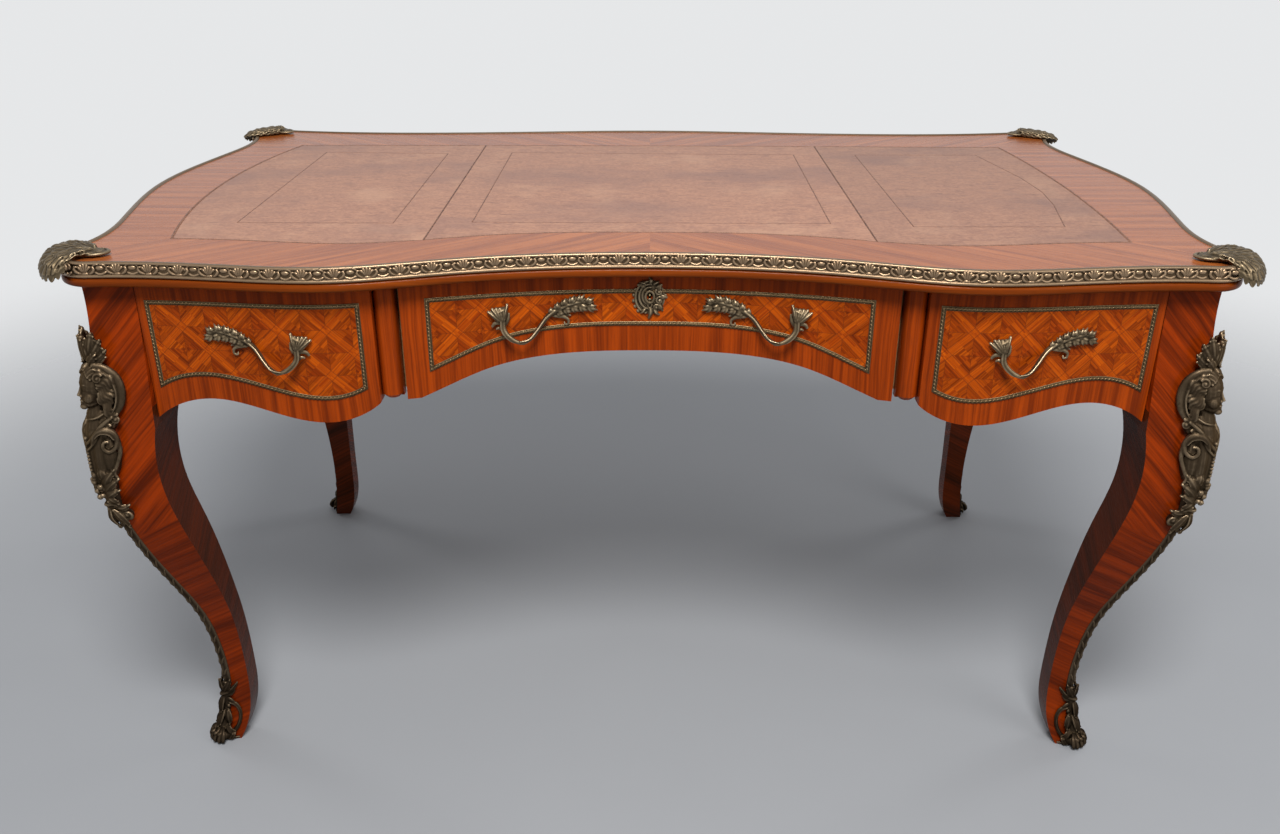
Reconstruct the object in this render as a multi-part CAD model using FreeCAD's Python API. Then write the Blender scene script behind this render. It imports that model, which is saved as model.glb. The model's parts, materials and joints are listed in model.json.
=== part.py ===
import FreeCAD
import Part
import math
import os

# A serpentine writing desk with three drawers on four cabriole legs.
# Millimetres. +X runs along the width, -Y is the front, +Z is up.
# The origin is on the floor, under the middle of the desk.

V = FreeCAD.Vector

# Overall sizes: the height of the top, and the reach of the legs from the middle
top_height = 780.0
leg_reach_x = 697.0
leg_reach_y = 401.0

# Top: a board with a wooden lip, a brass edge, a veneer border and three leather skins
edge_height = 20.0
edge_thickness = 7.0
edge_rise = 2.0
lip_height = 12.0
lip_setback = 3.0
cover_thickness = 2.0
front_overhang = 22.0
front_bulge_out = 17.5
front_recess_in = 48.0
front_bulge_shift = 17.0
back_overhang = 12.0
back_bulge_out = 8.0
back_dip_in = 19.0
back_dip_x = 420.0
end_overhang = 25.0
end_bulge_out = 28.0
end_waist_in = 11.0
corner_setback_x = 29.0
corner_setback_y = 43.0

# Leather
leather_margin_x = 82.0
leather_margin_front = 86.0
leather_margin_back = 118.0
leather_recess_in = 39.0
leather_bulge_out = 19.0
leather_bulge_left = 40.0
leather_bulge_right = 17.0
leather_bulge_shift = 12.0
leather_shoulder_out = 8.0
leather_back_out = 5.0
leather_seam_x = 290.0

# Legs and their brass
leg_block = 63.0
knee_out = 18.5
ankle_in = 56.5
foot_in = 42.0
foot_width = 29.0
leg_slim = 13.0
ankle_back = 29.0
knee_back = 5.5
shoulder_drop = 10.0
knee_drop = 248.0
strip_width = 8.0
strip_proud = 2.5
sabot_height = 96.0
sabot_proud = 3.0
sabot_cover = 20.0
toe_proud = 13.0
toe_height = 16.0
bust_top_drop = 54.0
bust_length = 282.0
bust_inset = 3.0
crown_radius = 16.0
head_radius = 25.0
neck_radius = 19.0
chest_radius = 21.0
tail_radius = 12.0
tip_radius = 4.0

# Frieze
board = 22.0
panel_setback = 2.0
cove_toe = 5.0
frieze_setback = 25.0
drawer_top_gap = 2.0
joint_gap = 1.0
drawer_gap = 6.0
drawer_gap_x = 312.5
bulge_from_gap = 85.0
apron_drop = 181.0
apron_arch = 28.0
joint_drop = 182.0
arch_drop = 106.5
arch_end_drop = 156.0
arch_margin = 17.0
rail_height = 20.0
rail_depth = 60.0
partition_board = 18.0
partition_lift = 6.0
pilaster_width = 27.0
pilaster_depth = 15.0
pilaster_drop = 154.0
pilaster_foot = 5.0

# Drawer boxes and what they run on
side_board = 11.0
back_board = 10.0
bottom_board = 6.0
bottom_lift = 6.0
groove = 5.0
box_clear = 2.0
running_gap = 0.3
drawer_length = 575.0
runner_height = 12.0
runner_width = 22.0
guide_height = 36.0
guide_thickness = 12.0
side_runner_drop = 146.0
centre_runner_drop = 114.0
kicker_width = 62.0

# Brass on the drawers
trim_width = 7.0
trim_proud = 3.0
trim_top_gap = 20.0
trim_end_gap = 9.0
trim_cove_gap = 13.0
trim_lift = 31.0
trim_corner_lift = 12.0
trim_centre_gap = 29.0
trim_arch_lift = 34.0
handle_side_shift = 10.0
handle_side_drop = 84.0
handle_centre_x = 137.0
handle_centre_drop = 62.0
handle_proud = 22.0
handle_stem = 4.0
leaf_length = 62.0
leaf_root = 8.0
leaf_rise = 27.0
bow_reach = 53.0
bow_drop = 24.0
cup_length = 22.0
cup_radius = 10.0
post_radius = 5.0
screw_radius = 2.0
screw_clear = 0.2
screw_head = 4.5
screw_head_height = 2.5
escutcheon_width = 39.0
escutcheon_height = 53.0
escutcheon_drop = 36.5
escutcheon_thick = 3.5

# Lock
lock_width = 54.0
lock_height = 36.0
lock_depth = 17.0
lock_top_gap = 2.0
keyhole_drop = 31.0
keyhole_radius = 3.2
keyhole_slot = 10.0
key_pin_radius = 1.1
bolt_width = 14.0
bolt_thick = 5.0
bolt_length = 22.0
bolt_throw = 9.0

# Corner mounts and top screws
mount_size = 50.0
mount_rise = 6.0
mount_fall = 3.0
top_screw_radius = 2.5
top_screw_length = 32.0
top_screw_head = 5.0
top_screw_sink = 4.0
top_screw_recess = 1.0

# Heights and places that follow from the sizes above
edge_low = top_height - edge_height
frieze_top = edge_low - lip_height
cover_top = top_height - edge_rise
board_top = cover_top - cover_thickness
front_reach = leg_reach_y + front_overhang
front_bulge = front_reach + front_bulge_out
front_recess = front_reach - front_recess_in
back_reach = leg_reach_y + back_overhang
back_bulge = back_reach + back_bulge_out
back_dip = back_reach - back_dip_in
end_reach = leg_reach_x + end_overhang
end_bulge = end_reach + end_bulge_out
end_waist = end_reach - end_waist_in
corner_x = leg_reach_x - corner_setback_x
corner_y = leg_reach_y - corner_setback_y
bulge_x = drawer_gap_x + bulge_from_gap
leg_in_x = leg_reach_x - leg_block
leg_in_y = leg_reach_y - leg_block
drawer_top = frieze_top - drawer_top_gap
rail_low = frieze_top - rail_height
apron_low = frieze_top - apron_drop
joint_low = frieze_top - joint_drop
arch_low = frieze_top - arch_end_drop
pilaster_low = frieze_top - pilaster_drop
partition_low = pilaster_low + partition_lift
side_in_x = drawer_gap_x + drawer_gap / 2
side_out_x = leg_in_x - joint_gap
cove_x = side_in_x + pilaster_width
centre_half = drawer_gap_x - drawer_gap / 2
frieze_recess = front_recess - frieze_setback
frieze_bulge = front_bulge - frieze_setback
rail_back_y = -(frieze_recess - board - rail_depth)
drawer_back_y = drawer_length - leg_reach_y
key_z = frieze_top - keyhole_drop
far = 2 * end_bulge


# Small helpers

def line(a, b):
    return Part.LineSegment(a, b).toShape()


def spline(points):
    curve = Part.BSplineCurve()
    curve.interpolate(points)
    return curve.toShape()


def prism(edges, along):
    wire = Part.Wire(Part.__sortEdges__(edges))
    return Part.Face(wire).extrude(along)


def block(x0, x1, y0, y1, z0, z1):
    return Part.makeBox(x1 - x0, y1 - y0, z1 - z0, V(x0, y0, z0))


def rod(radius, start, end):
    along = end - start
    return Part.makeCylinder(radius, along.Length, start, along)


def mirrored(points):
    other = [V(-p.x, p.y, p.z) for p in reversed(points) if p.x > 0]
    return other + points


def flip_x(shape):
    return shape.mirror(V(0, 0, 0), V(1, 0, 0))


def flip_y(shape):
    return shape.mirror(V(0, 0, 0), V(0, 1, 0))


def quarter_turn(shape):
    turned = shape.copy()
    turned.rotate(V(0, 0, 0), V(0, 0, 1), 90)
    return turned


pieces = {}


def keep(name, *solids):
    pieces[name] = solids[0] if len(solids) == 1 else Part.makeCompound(list(solids))


def save_all():
    box = Part.makeCompound(list(pieces.values())).optimalBoundingBox(False, False)
    to_middle = V(-(box.XMin + box.XMax) / 2, -(box.YMin + box.YMax) / 2, 0)
    for name, shape in pieces.items():
        shape.translate(to_middle)
        shape.exportStep("parts/" + name + ".step")
        print(name, len(shape.Solids), round(shape.Volume / 1000, 1), shape.isValid())
    print("moved to the middle by", to_middle, "overall", box.XLength, box.YLength, box.ZLength)


# Plan curves

def front_points(inset, z):
    half = [(0, front_recess),
            (0.63 * bulge_x, 0.52 * front_recess + 0.48 * front_bulge),
            (bulge_x - front_bulge_shift, front_bulge),
            (0.5 * (bulge_x + corner_x), 0.6 * front_reach + 0.4 * front_bulge),
            (corner_x, front_reach)]
    return mirrored([V(x, inset - y, z) for x, y in half])


def back_points(inset, z):
    half = [(0, back_bulge), (back_dip_x / 2, (back_bulge + back_dip) / 2), (back_dip_x, back_dip),
            (corner_x, back_reach)]
    return mirrored([V(x, y - inset, z) for x, y in half])


def end_points(inset, z):
    half = [(end_bulge, 0), (0.3 * end_bulge + 0.7 * end_waist, 0.57 * corner_y),
            (end_waist, 0.81 * corner_y), (end_reach, corner_y)]
    back = [V(x - inset, y, z) for x, y in half]
    return [V(p.x, -p.y, z) for p in reversed(back[1:])] + back


def top_outline(inset, z):
    front = front_points(inset, z)
    back = back_points(inset, z)
    right = end_points(inset, z)
    left = [V(-p.x, p.y, z) for p in right]
    edges = [spline(front), spline(back), spline(right), spline(left)]
    slant = inset * math.sqrt(0.5)
    for sx, end in ((1, right), (-1, left)):
        for sy, side, tip in ((-1, front, end[0]), (1, back, end[-1])):
            start = side[-1] if sx > 0 else side[0]
            bend_x = sx * (leg_reach_x + 0.6 * end_overhang - slant)
            bend_y = sy * (leg_reach_y + 0.4 * front_overhang - slant)
            edges.append(Part.Arc(start, V(bend_x, bend_y, z), tip).toShape())
    return edges


def leather_outline(z):
    half_x = leg_reach_x - leather_margin_x
    front = leg_reach_y - leather_margin_front
    back = leg_reach_y - leather_margin_back
    half = [(0, front - leather_recess_in),
            (0.52 * bulge_x, front - 0.58 * leather_recess_in),
            (bulge_x - leather_bulge_shift, front + leather_bulge_out),
            (0.5 * (bulge_x + half_x), front + leather_shoulder_out),
            (half_x, front)]
    front_edge = mirrored([V(x, -y, z) for x, y in half])
    back_edge = mirrored([V(0, back + leather_back_out, z), V(half_x, back, z)])
    left = [front_edge[0], V(-half_x - leather_bulge_left, 0, z), back_edge[0]]
    right = [front_edge[-1], V(half_x + leather_bulge_right, 0, z), back_edge[-1]]
    return [spline(front_edge), spline(back_edge), spline(left), spline(right)]


def frieze_points(z):
    half = [(0, frieze_recess),
            (0.58 * drawer_gap_x, 0.73 * frieze_recess + 0.27 * frieze_bulge),
            (0.96 * drawer_gap_x, 0.3 * frieze_recess + 0.7 * frieze_bulge),
            (bulge_x, frieze_bulge),
            (0.5 * (bulge_x + leg_in_x), 0.6 * frieze_bulge + 0.4 * leg_reach_y),
            (leg_in_x, leg_reach_y)]
    return mirrored([V(x, -y, z) for x, y in half])


def back_apron_points(z):
    half = [(0, back_bulge), (back_dip_x / 2, (back_bulge + back_dip) / 2), (back_dip_x, back_dip),
            (leg_in_x, leg_reach_y - panel_setback + frieze_setback)]
    return mirrored([V(x, y - frieze_setback, z) for x, y in half])


def end_panel_points(z):
    swell = end_bulge - frieze_setback
    half = [(swell, 0), (0.27 * swell + 0.73 * leg_reach_x, 0.57 * leg_in_y),
            (leg_reach_x - panel_setback, leg_in_y)]
    back = [V(x, y, z) for x, y in half]
    return [V(p.x, -p.y, z) for p in reversed(back[1:])] + back


def band(points, shift, z1):
    near = spline(points)
    moved = near.copy()
    moved.translate(shift)
    ends = [line(points[0], points[0] + shift), line(points[-1], points[-1] + shift)]
    return prism([near, moved] + ends, V(0, 0, z1 - points[0].z))


def behind_fronts(gap):
    points = [p + V(0, board + gap, 0) for p in frieze_points(0)]
    return band(points, V(0, far, 0), top_height)


# Elevation outlines: a lower edge, closed upwards and cut through in depth

def drawer_share(share):
    return cove_x + share * (side_out_x - cove_x)


def side_low_points():
    shape = [(side_out_x, joint_low),
             (drawer_share(0.90), joint_low + 0.66 * apron_arch),
             (drawer_share(0.75), joint_low + 1.02 * apron_arch),
             (drawer_share(0.44), apron_low + 0.36 * apron_arch),
             (drawer_share(0.21), apron_low),
             (drawer_share(0.07), apron_low + 0.36 * apron_arch),
             (cove_x - cove_toe, apron_low + apron_arch)]
    return [V(x, 0, z) for x, z in shape]


def side_trim_points(inset):
    out_x = side_out_x - trim_end_gap - inset
    in_x = cove_x + trim_cove_gap + inset
    lift = trim_lift + inset
    shape = [(out_x, joint_low + lift + trim_corner_lift),
             (drawer_share(0.75), joint_low + apron_arch + lift),
             (drawer_share(0.44), apron_low + 0.36 * apron_arch + lift),
             (drawer_share(0.18), apron_low + lift),
             (in_x, apron_low + 0.4 * apron_arch + lift)]
    return [V(x, 0, z) for x, z in shape]


def arch_points(half, low, rise):
    shape = [(0, 1.0), (0.46, 0.93), (0.70, 0.68), (0.87, 0.31), (1.0, 0)]
    return mirrored([V(x * half, 0, low + share * rise) for x, share in shape])


def centre_trim_points(inset):
    low = arch_low + trim_arch_lift + inset
    rise = arch_end_drop - arch_drop
    return arch_points(centre_half - trim_centre_gap - inset, low, rise)


def end_low_points(inset):
    reach = leg_in_y - inset
    lift = inset + (trim_corner_lift if inset else 0)
    half = [(0, apron_low + 0.3 * apron_arch + inset),
            (0.36 * reach, apron_low + 0.5 * apron_arch + inset),
            (0.72 * reach, apron_low + apron_arch + inset),
            (reach, joint_low + lift)]
    return mirrored([V(y, 0, z) for y, z in half])


def upright(points, top):
    first = points[0]
    last = points[-1]
    over_first = V(first.x, 0, top)
    over_last = V(last.x, 0, top)
    edges = [spline(points), line(first, over_first), line(over_first, over_last), line(over_last, last)]
    through = prism(edges, V(0, far, 0))
    through.translate(V(0, -far / 2, 0))
    return through


def centre_elevation():
    half = centre_half - arch_margin
    arch = upright(arch_points(half, arch_low, arch_end_drop - arch_drop), drawer_top)
    cheek = block(half, centre_half, -far, far, arch_low, drawer_top)
    return arch.fuse([cheek, flip_x(cheek)])


def ring(points_at):
    top = drawer_top - trim_top_gap
    return upright(points_at(0), top).cut(upright(points_at(trim_width), top - trim_width))


# Pieces of the top

def make_top():
    lip = prism(top_outline(lip_setback, frieze_top), V(0, 0, lip_height))
    slab = prism(top_outline(edge_thickness, edge_low), V(0, 0, board_top - edge_low))
    return lip.fuse(slab).removeSplitter()


def make_covers():
    leather = prism(leather_outline(board_top), V(0, 0, cover_thickness))
    border = prism(top_outline(edge_thickness, board_top), V(0, 0, cover_thickness)).cut(leather)
    middle = leather.common(block(-leather_seam_x, leather_seam_x, -far, far, 0, far))
    left = leather.common(block(-far, -leather_seam_x, -far, far, 0, far))
    right = leather.common(block(leather_seam_x, far, -far, far, 0, far))
    return border, left, middle, right


def make_edges():
    front = band(front_points(0, edge_low), V(0, edge_thickness, 0), top_height)
    back = band(back_points(0, edge_low), V(0, -edge_thickness, 0), top_height)
    end = band(end_points(0, edge_low), V(-edge_thickness, 0, 0), top_height)
    return front, back, end


def mount_outline(z, share):
    shape = [(-0.74, 0.36), (-0.14, 0.9), (0.56, 1.0), (1.0, 0.6), (1.04, 0.16), (0.76, -0.28),
             (0.12, -0.44), (-0.3, -0.08)]
    middle = V(0.24, 0.32, 0)
    points = []
    for x, y in shape:
        out = (middle + (V(x, y, 0) - middle) * share) * mount_size
        points.append(V(leg_reach_x + out.x, out.y - leg_reach_y, z))
    curve = Part.BSplineCurve()
    curve.interpolate(points, True)
    return Part.Wire([curve.toShape()])


def make_corner_mount(top_pieces):
    low = mount_outline(edge_low - mount_fall, 0.8)
    rim = mount_outline(edge_low + 0.5 * edge_height, 1.0)
    crest = mount_outline(top_height + mount_rise, 0.7)
    skirt = Part.makeLoft([low, rim], True, True)
    dome = Part.makeLoft([rim, crest], True, True)
    return skirt.fuse(dome).cut(top_pieces)


# Legs: the same sawn curve on both faces of a square post

def leg_outer_points(proud):
    knee_z = frieze_top - knee_drop
    shape = [(-foot_in, 0),
             (0.09 * foot_in - ankle_in, 0.10 * knee_z),
             (-ankle_in, 0.22 * knee_z),
             (-0.94 * ankle_in, 0.34 * knee_z),
             (-0.77 * ankle_in, 0.46 * knee_z),
             (-0.40 * ankle_in, 0.60 * knee_z),
             (0.16 * knee_out, 0.77 * knee_z),
             (0.76 * knee_out, 0.88 * knee_z),
             (knee_out, knee_z),
             (0.81 * knee_out, frieze_top - 0.76 * knee_drop),
             (0.24 * knee_out, frieze_top - 0.40 * knee_drop),
             (0, frieze_top)]
    return [V(leg_reach_x + out + proud, 0, z) for out, z in shape]


def leg_inner_points(slim):
    knee_z = frieze_top - knee_drop
    foot = leg_reach_x - foot_in - foot_width
    shape = [(foot, 0, 0),
             (leg_in_x - 0.86 * ankle_back, 0.09, 0),
             (leg_in_x - ankle_back, 0.22, 0),
             (leg_in_x - 0.97 * ankle_back, 0.40, 0.4),
             (leg_in_x - 0.79 * ankle_back, 0.58, 1.0),
             (leg_in_x - 0.34 * ankle_back, 0.77, 0.9),
             (leg_in_x + 0.55 * knee_back, 0.92, 0.6),
             (leg_in_x + knee_back, 1.0, 0.3)]
    points = [V(x + slim * share, 0, height * knee_z) for x, height, share in shape]
    return points + [V(leg_in_x, 0, joint_low - shoulder_drop)]


def cross_saw(front_edges, side_edges):
    sawn = prism(front_edges, V(0, far, 0))
    sawn.translate(V(0, -far / 2, 0))
    turned = prism(side_edges, V(0, far, 0))
    turned.translate(V(0, -far / 2, 0))
    turned.rotate(V(0, 0, 0), V(0, 0, 1), -90)
    turned.translate(V(0, leg_reach_x - leg_reach_y, 0))
    return sawn.common(turned)


def leg_face(slim):
    outer = leg_outer_points(0)
    inner = leg_inner_points(slim)
    head = V(leg_in_x, 0, frieze_top)
    ends = [line(outer[-1], head), line(head, inner[-1]), line(inner[0], outer[0])]
    return [spline(outer), spline(inner)] + ends


def make_leg():
    return cross_saw(leg_face(0), leg_face(leg_slim))


def arris_bar(z0, z1, proud, cover):
    outer = leg_outer_points(proud)
    inner = leg_outer_points(-cover)
    edges = [spline(outer), spline(inner), line(outer[0], inner[0]), line(outer[-1], inner[-1])]
    return cross_saw(edges, edges).common(block(0, far, -far, far, z0, z1))


def arris_point(z, proud):
    level = line(V(0, 0, z), V(far, 0, z))
    edge = spline(leg_outer_points(proud))
    out = edge.distToShape(level)[1][0][0].x
    return V(out, leg_reach_x - leg_reach_y - out, z)


def make_bust(leg):
    high = frieze_top - bust_top_drop
    crown = [(1.0, tip_radius), (0.94, 0.85 * crown_radius), (0.86, crown_radius), (0.80, crown_radius)]
    head = [(0.74, 0.92 * head_radius), (0.67, head_radius), (0.60, neck_radius)]
    chest = [(0.53, 0.93 * chest_radius), (0.46, chest_radius), (0.36, 0.75 * chest_radius)]
    tail = [(0.25, 1.2 * tail_radius), (0.12, tail_radius), (0, tip_radius)]
    rings = []
    for height, radius in crown + head + chest + tail:
        place = arris_point(high - (1 - height) * bust_length, -bust_inset)
        rings.append(Part.Wire([Part.Circle(place, V(0, 0, 1), radius).toShape()]))
    figure = Part.makeLoft(rings, True).cut(leg)
    return max(figure.Solids, key=lambda piece: piece.Volume)


def make_strip(leg):
    high = frieze_top - bust_top_drop - bust_length
    return arris_bar(sabot_height, high, strip_proud, strip_width - strip_proud).cut(leg)


def make_sabot(leg):
    shoe = arris_bar(0, sabot_height, sabot_proud, sabot_cover)
    toe = arris_bar(0, toe_height, toe_proud, sabot_cover)
    return shoe.fuse(toe).cut(leg)


# Carcass

def make_back_apron():
    sides = upright(side_low_points(), frieze_top)
    middle = centre_elevation().fuse(block(-centre_half, centre_half, -far, far, rail_low, frieze_top))
    joint = block(centre_half, cove_x, -far, far, pilaster_low, frieze_top)
    edge = block(side_out_x, leg_in_x, -far, far, joint_low, frieze_top)
    elevation = middle.fuse([sides, flip_x(sides), joint, flip_x(joint), edge, flip_x(edge)])
    whole = band(back_apron_points(joint_low - board), V(0, -board, 0), frieze_top)
    return whole.common(elevation).removeSplitter()


def make_end_panel():
    elevation = quarter_turn(upright(end_low_points(0), frieze_top))
    return band(end_panel_points(apron_low - board), V(-board, 0, 0), frieze_top).common(elevation)


def make_rails(apron):
    clear = behind_fronts(joint_gap)
    rail = block(-leg_in_x, leg_in_x, -far, rail_back_y, rail_low, frieze_top).common(clear)
    half = partition_board / 2
    wall = block(drawer_gap_x - half, drawer_gap_x + half, -far, back_bulge, partition_low, rail_low)
    return rail, cut_to_apron(wall.common(clear), apron)


def cut_to_apron(shape, apron):
    inside = [s for s in shape.cut(apron).Solids if s.CenterOfMass.y < leg_in_y]
    return inside[0]


def make_runners(apron):
    clear = behind_fronts(joint_gap)
    wall_out = drawer_gap_x + partition_board / 2
    wall_in = drawer_gap_x - partition_board / 2
    side_low = frieze_top - side_runner_drop
    centre_low = frieze_top - centre_runner_drop
    side_high = side_low + runner_height
    centre_high = centre_low + runner_height
    inner = block(wall_out, wall_out + runner_width, -far, back_bulge, side_low, side_high)
    outer = block(leg_in_x - runner_width, leg_in_x, -far, back_bulge, side_low, side_high)
    centre = block(wall_in - runner_width, wall_in, -far, back_bulge, centre_low, centre_high)
    guide_x = leg_in_x + guide_thickness
    guide = block(leg_in_x, guide_x, -leg_in_y, leg_in_y, side_low, side_low + guide_height)
    half = kicker_width / 2
    kicker = block(drawer_gap_x - half, drawer_gap_x + half, rail_back_y, back_bulge, rail_low, frieze_top)
    edge_kicker = block(leg_in_x - runner_width, leg_in_x, rail_back_y, back_bulge, rail_low, frieze_top)
    runs = [cut_to_apron(run.common(clear), apron) for run in (inner, outer, centre, kicker, edge_kicker)]
    runs[1] = runs[1].fuse(guide).removeSplitter()
    return runs


# Drawers

def make_box(x0, x1, low):
    clear = behind_fronts(0)
    high = rail_low - box_clear
    left = block(x0, x0 + side_board, -far, drawer_back_y, low, high).common(clear)
    right = block(x1 - side_board, x1, -far, drawer_back_y, low, high).common(clear)
    floor_low = low + bottom_lift
    floor = block(x0 + side_board - groove, x1 - side_board + groove, -far, drawer_back_y, floor_low,
                  floor_low + bottom_board).common(clear)
    back = block(x0 + side_board, x1 - side_board, drawer_back_y - back_board, drawer_back_y,
                 floor_low + bottom_board, high - bottom_board)
    return left.cut(floor), right.cut(floor), back, floor


def make_side_front():
    whole = band(frieze_points(joint_low - board), V(0, board, 0), drawer_top)
    face = whole.common(upright(side_low_points(), drawer_top))
    face = face.common(block(cove_x, far, -far, far, 0, far))
    seat_y = pilaster_front_y() + pilaster_depth
    tongue = whole.common(block(side_in_x, cove_x, seat_y, far, pilaster_low, drawer_top))
    return face.fuse(tongue).removeSplitter()


def pilaster_front_y():
    return front_place(side_in_x + pilaster_width / 2).y


def make_pilaster():
    radius = pilaster_width / 2
    front = pilaster_front_y()
    axis = V(side_in_x + radius, front + radius, pilaster_low)
    length = drawer_top - pilaster_low - pilaster_foot
    shaft = Part.makeCylinder(radius, length, axis + V(0, 0, pilaster_foot))
    foot = Part.makeCone(radius - pilaster_foot, radius, pilaster_foot, axis)
    return shaft.fuse(foot).common(block(0, far, -far, front + pilaster_depth, 0, far)).removeSplitter()


def front_place(x):
    edge = spline(frieze_points(0))
    sight = line(V(x, -far, 0), V(x, far, 0))
    return edge.distToShape(sight)[1][0][0]


def front_angle(x):
    edge = spline(frieze_points(0))
    along = edge.tangentAt(edge.Curve.parameter(front_place(x)))
    return math.degrees(math.atan2(along.y, along.x))


def seat_on_front(shape, x, z):
    place = front_place(x)
    seated = shape.copy()
    seated.rotate(V(0, 0, 0), V(0, 0, 1), front_angle(x))
    seated.translate(V(place.x, place.y, z))
    return seated


# Handle: a leaf, a bowed stem and a flower cup, drawn on the plane y = 0 with its leaf to the left
leaf_screw = V(-leaf_root - 0.48 * leaf_length, 0, 0.52 * leaf_rise)
cup_screw = V(bow_reach + 0.18 * cup_length, 0, 0.55 * cup_length)


def make_leaf(depth):
    shape = [(1.0, 0.67), (0.7, 1.0), (0.3, 0.81), (0, 0.22), (0.35, 0.22)]
    points = [V(-leaf_root - along * leaf_length, depth, up * leaf_rise) for along, up in shape]
    curve = Part.BSplineCurve()
    curve.interpolate(points, True)
    return prism([curve.toShape()], V(0, -depth - post_radius, 0))


def make_bow():
    start = V(-1.5 * leaf_root, 0, 0.37 * leaf_rise)
    lowest = V(0.51 * bow_reach, handle_stem - handle_proud, -bow_drop)
    end = V(bow_reach, -handle_stem, handle_stem)
    bow = Part.Arc(start, lowest, end).toShape()
    circle = Part.Circle(start, bow.tangentAt(bow.FirstParameter), handle_stem).toShape()
    return Part.Wire([bow]).makePipeShell([Part.Wire([circle])], True, False)


def make_handle():
    depth = 2 * post_radius
    cup_root = V(bow_reach, -handle_stem, handle_stem / 2)
    cup = Part.makeCone(handle_stem, cup_radius, cup_length, cup_root, V(0.35, -0.15, 0.9))
    post = rod(post_radius, cup_screw + V(0, depth, 0), cup_screw - V(0, post_radius, 0))
    return make_leaf(depth).fuse([make_bow(), cup, post])


def make_screw(place):
    shank = rod(screw_radius, place - V(0, 2 * post_radius, 0), place + V(0, board, 0))
    inside = place + V(0, board, 0)
    lift = V(0, screw_head_height, 0)
    head = rod(screw_head, inside - lift, inside + lift)
    hole = rod(screw_radius + screw_clear, place - V(0, board, 0), place + V(0, 2 * board, 0))
    return shank.fuse(head), hole


def fit_handle(x, drop, leaf_left, front):
    z = frieze_top - drop
    handle = make_handle()
    pairs = [make_screw(leaf_screw), make_screw(cup_screw)]
    if not leaf_left:
        handle = flip_x(handle)
        pairs = [(flip_x(screw), flip_x(hole)) for screw, hole in pairs]
    handle = seat_on_front(handle, x, z).cut(front)
    handle = max(handle.Solids, key=lambda s: s.Volume)
    holes = [seat_on_front(hole, x, z) for screw, hole in pairs]
    drilled = front.cut(holes)
    screws = [seat_on_front(screw, x, z).cut(handle).cut(drilled) for screw, hole in pairs]
    return handle, drilled, [max(s.Solids, key=lambda part: part.Volume) for s in screws]


def make_keyhole():
    depth = lock_face_y() + lock_depth / 3
    through = rod(keyhole_radius, V(0, -far, key_z), V(0, depth, key_z))
    half = keyhole_radius / 2
    slot = block(-half, half, -far, depth, key_z - keyhole_slot, key_z)
    return through.fuse(slot)


def lock_face_y():
    return board - frieze_recess


def make_escutcheon(front):
    oval = Part.Ellipse(V(0, 0, 0), escutcheon_height / 2, escutcheon_width / 2).toShape()
    plate = prism([oval], V(0, 0, board))
    plate.rotate(V(0, 0, 0), V(0, 1, 0), -90)
    plate.rotate(V(0, 0, 0), V(0, 0, 1), 90)
    plate.translate(V(0, -frieze_recess - escutcheon_thick + board, frieze_top - escutcheon_drop))
    return plate.cut(front).Solids[0]


# Lock: a case behind the middle drawer's front, with a bolt that rises into the rail

def bolt_middle_y():
    return lock_face_y() + lock_depth - 1.5 * bolt_thick


def make_lock(front):
    high = rail_low - lock_top_gap
    face = lock_face_y()
    side = lock_width / 2
    case = block(-side, side, face - board / 2, face + lock_depth, high - lock_height, high)
    case = case.cut(front).Solids[0].cut(make_keyhole())
    pin = rod(key_pin_radius, V(0, face - board, key_z), V(0, face + lock_depth / 3, key_z))
    middle = bolt_middle_y()
    half = bolt_thick / 2
    bolt = block(-bolt_width / 2, bolt_width / 2, middle - half, middle + half,
                 high - running_gap - bolt_length, high - running_gap)
    room = block(-bolt_width / 2 - running_gap, bolt_width / 2 + running_gap, middle - half - running_gap,
                 middle + half + running_gap, high - 2 * running_gap - bolt_length, high)
    return case.cut(room).fuse(pin), bolt


def make_strike():
    middle = bolt_middle_y()
    half = bolt_thick / 2 + 2 * running_gap
    width = bolt_width / 2 + 2 * running_gap
    high = rail_low + bolt_throw + lock_top_gap
    return block(-width, width, middle - half, middle + half, rail_low, high)


def make_top_screw(x, y):
    head = rod(top_screw_head, V(x, y, rail_low + top_screw_recess), V(x, y, rail_low + top_screw_sink))
    shank = rod(top_screw_radius, V(x, y, rail_low + top_screw_sink), V(x, y, rail_low + top_screw_length))
    sink = rod(top_screw_head + screw_clear, V(x, y, rail_low), V(x, y, rail_low + top_screw_sink))
    hole = rod(top_screw_radius + screw_clear, V(x, y, rail_low), V(x, y, rail_low + top_screw_length))
    return head.fuse(shank), sink.fuse(hole)


def trim_on_back(elevation):
    return band(back_apron_points(joint_low), V(0, trim_proud, 0), frieze_top).common(elevation)


def four_corners(shape):
    right = {"front_right": shape, "back_right": flip_y(shape)}
    left = {"front_left": flip_x(shape), "back_left": flip_x(flip_y(shape))}
    return {**right, **left}


os.makedirs("parts", exist_ok=True)

# Carcass
leg = make_leg()
bust = make_bust(leg)
strip = make_strip(leg)
sabot = make_sabot(leg)
apron = make_back_apron()
end_panel = make_end_panel()
rail, wall = make_rails(apron)
inner_run, outer_run, centre_run, kicker, edge_kicker = make_runners(apron)
top_board = make_top()
border, leather_left, leather_centre, leather_right = make_covers()
edge_front, edge_back, edge_end = make_edges()

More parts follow.
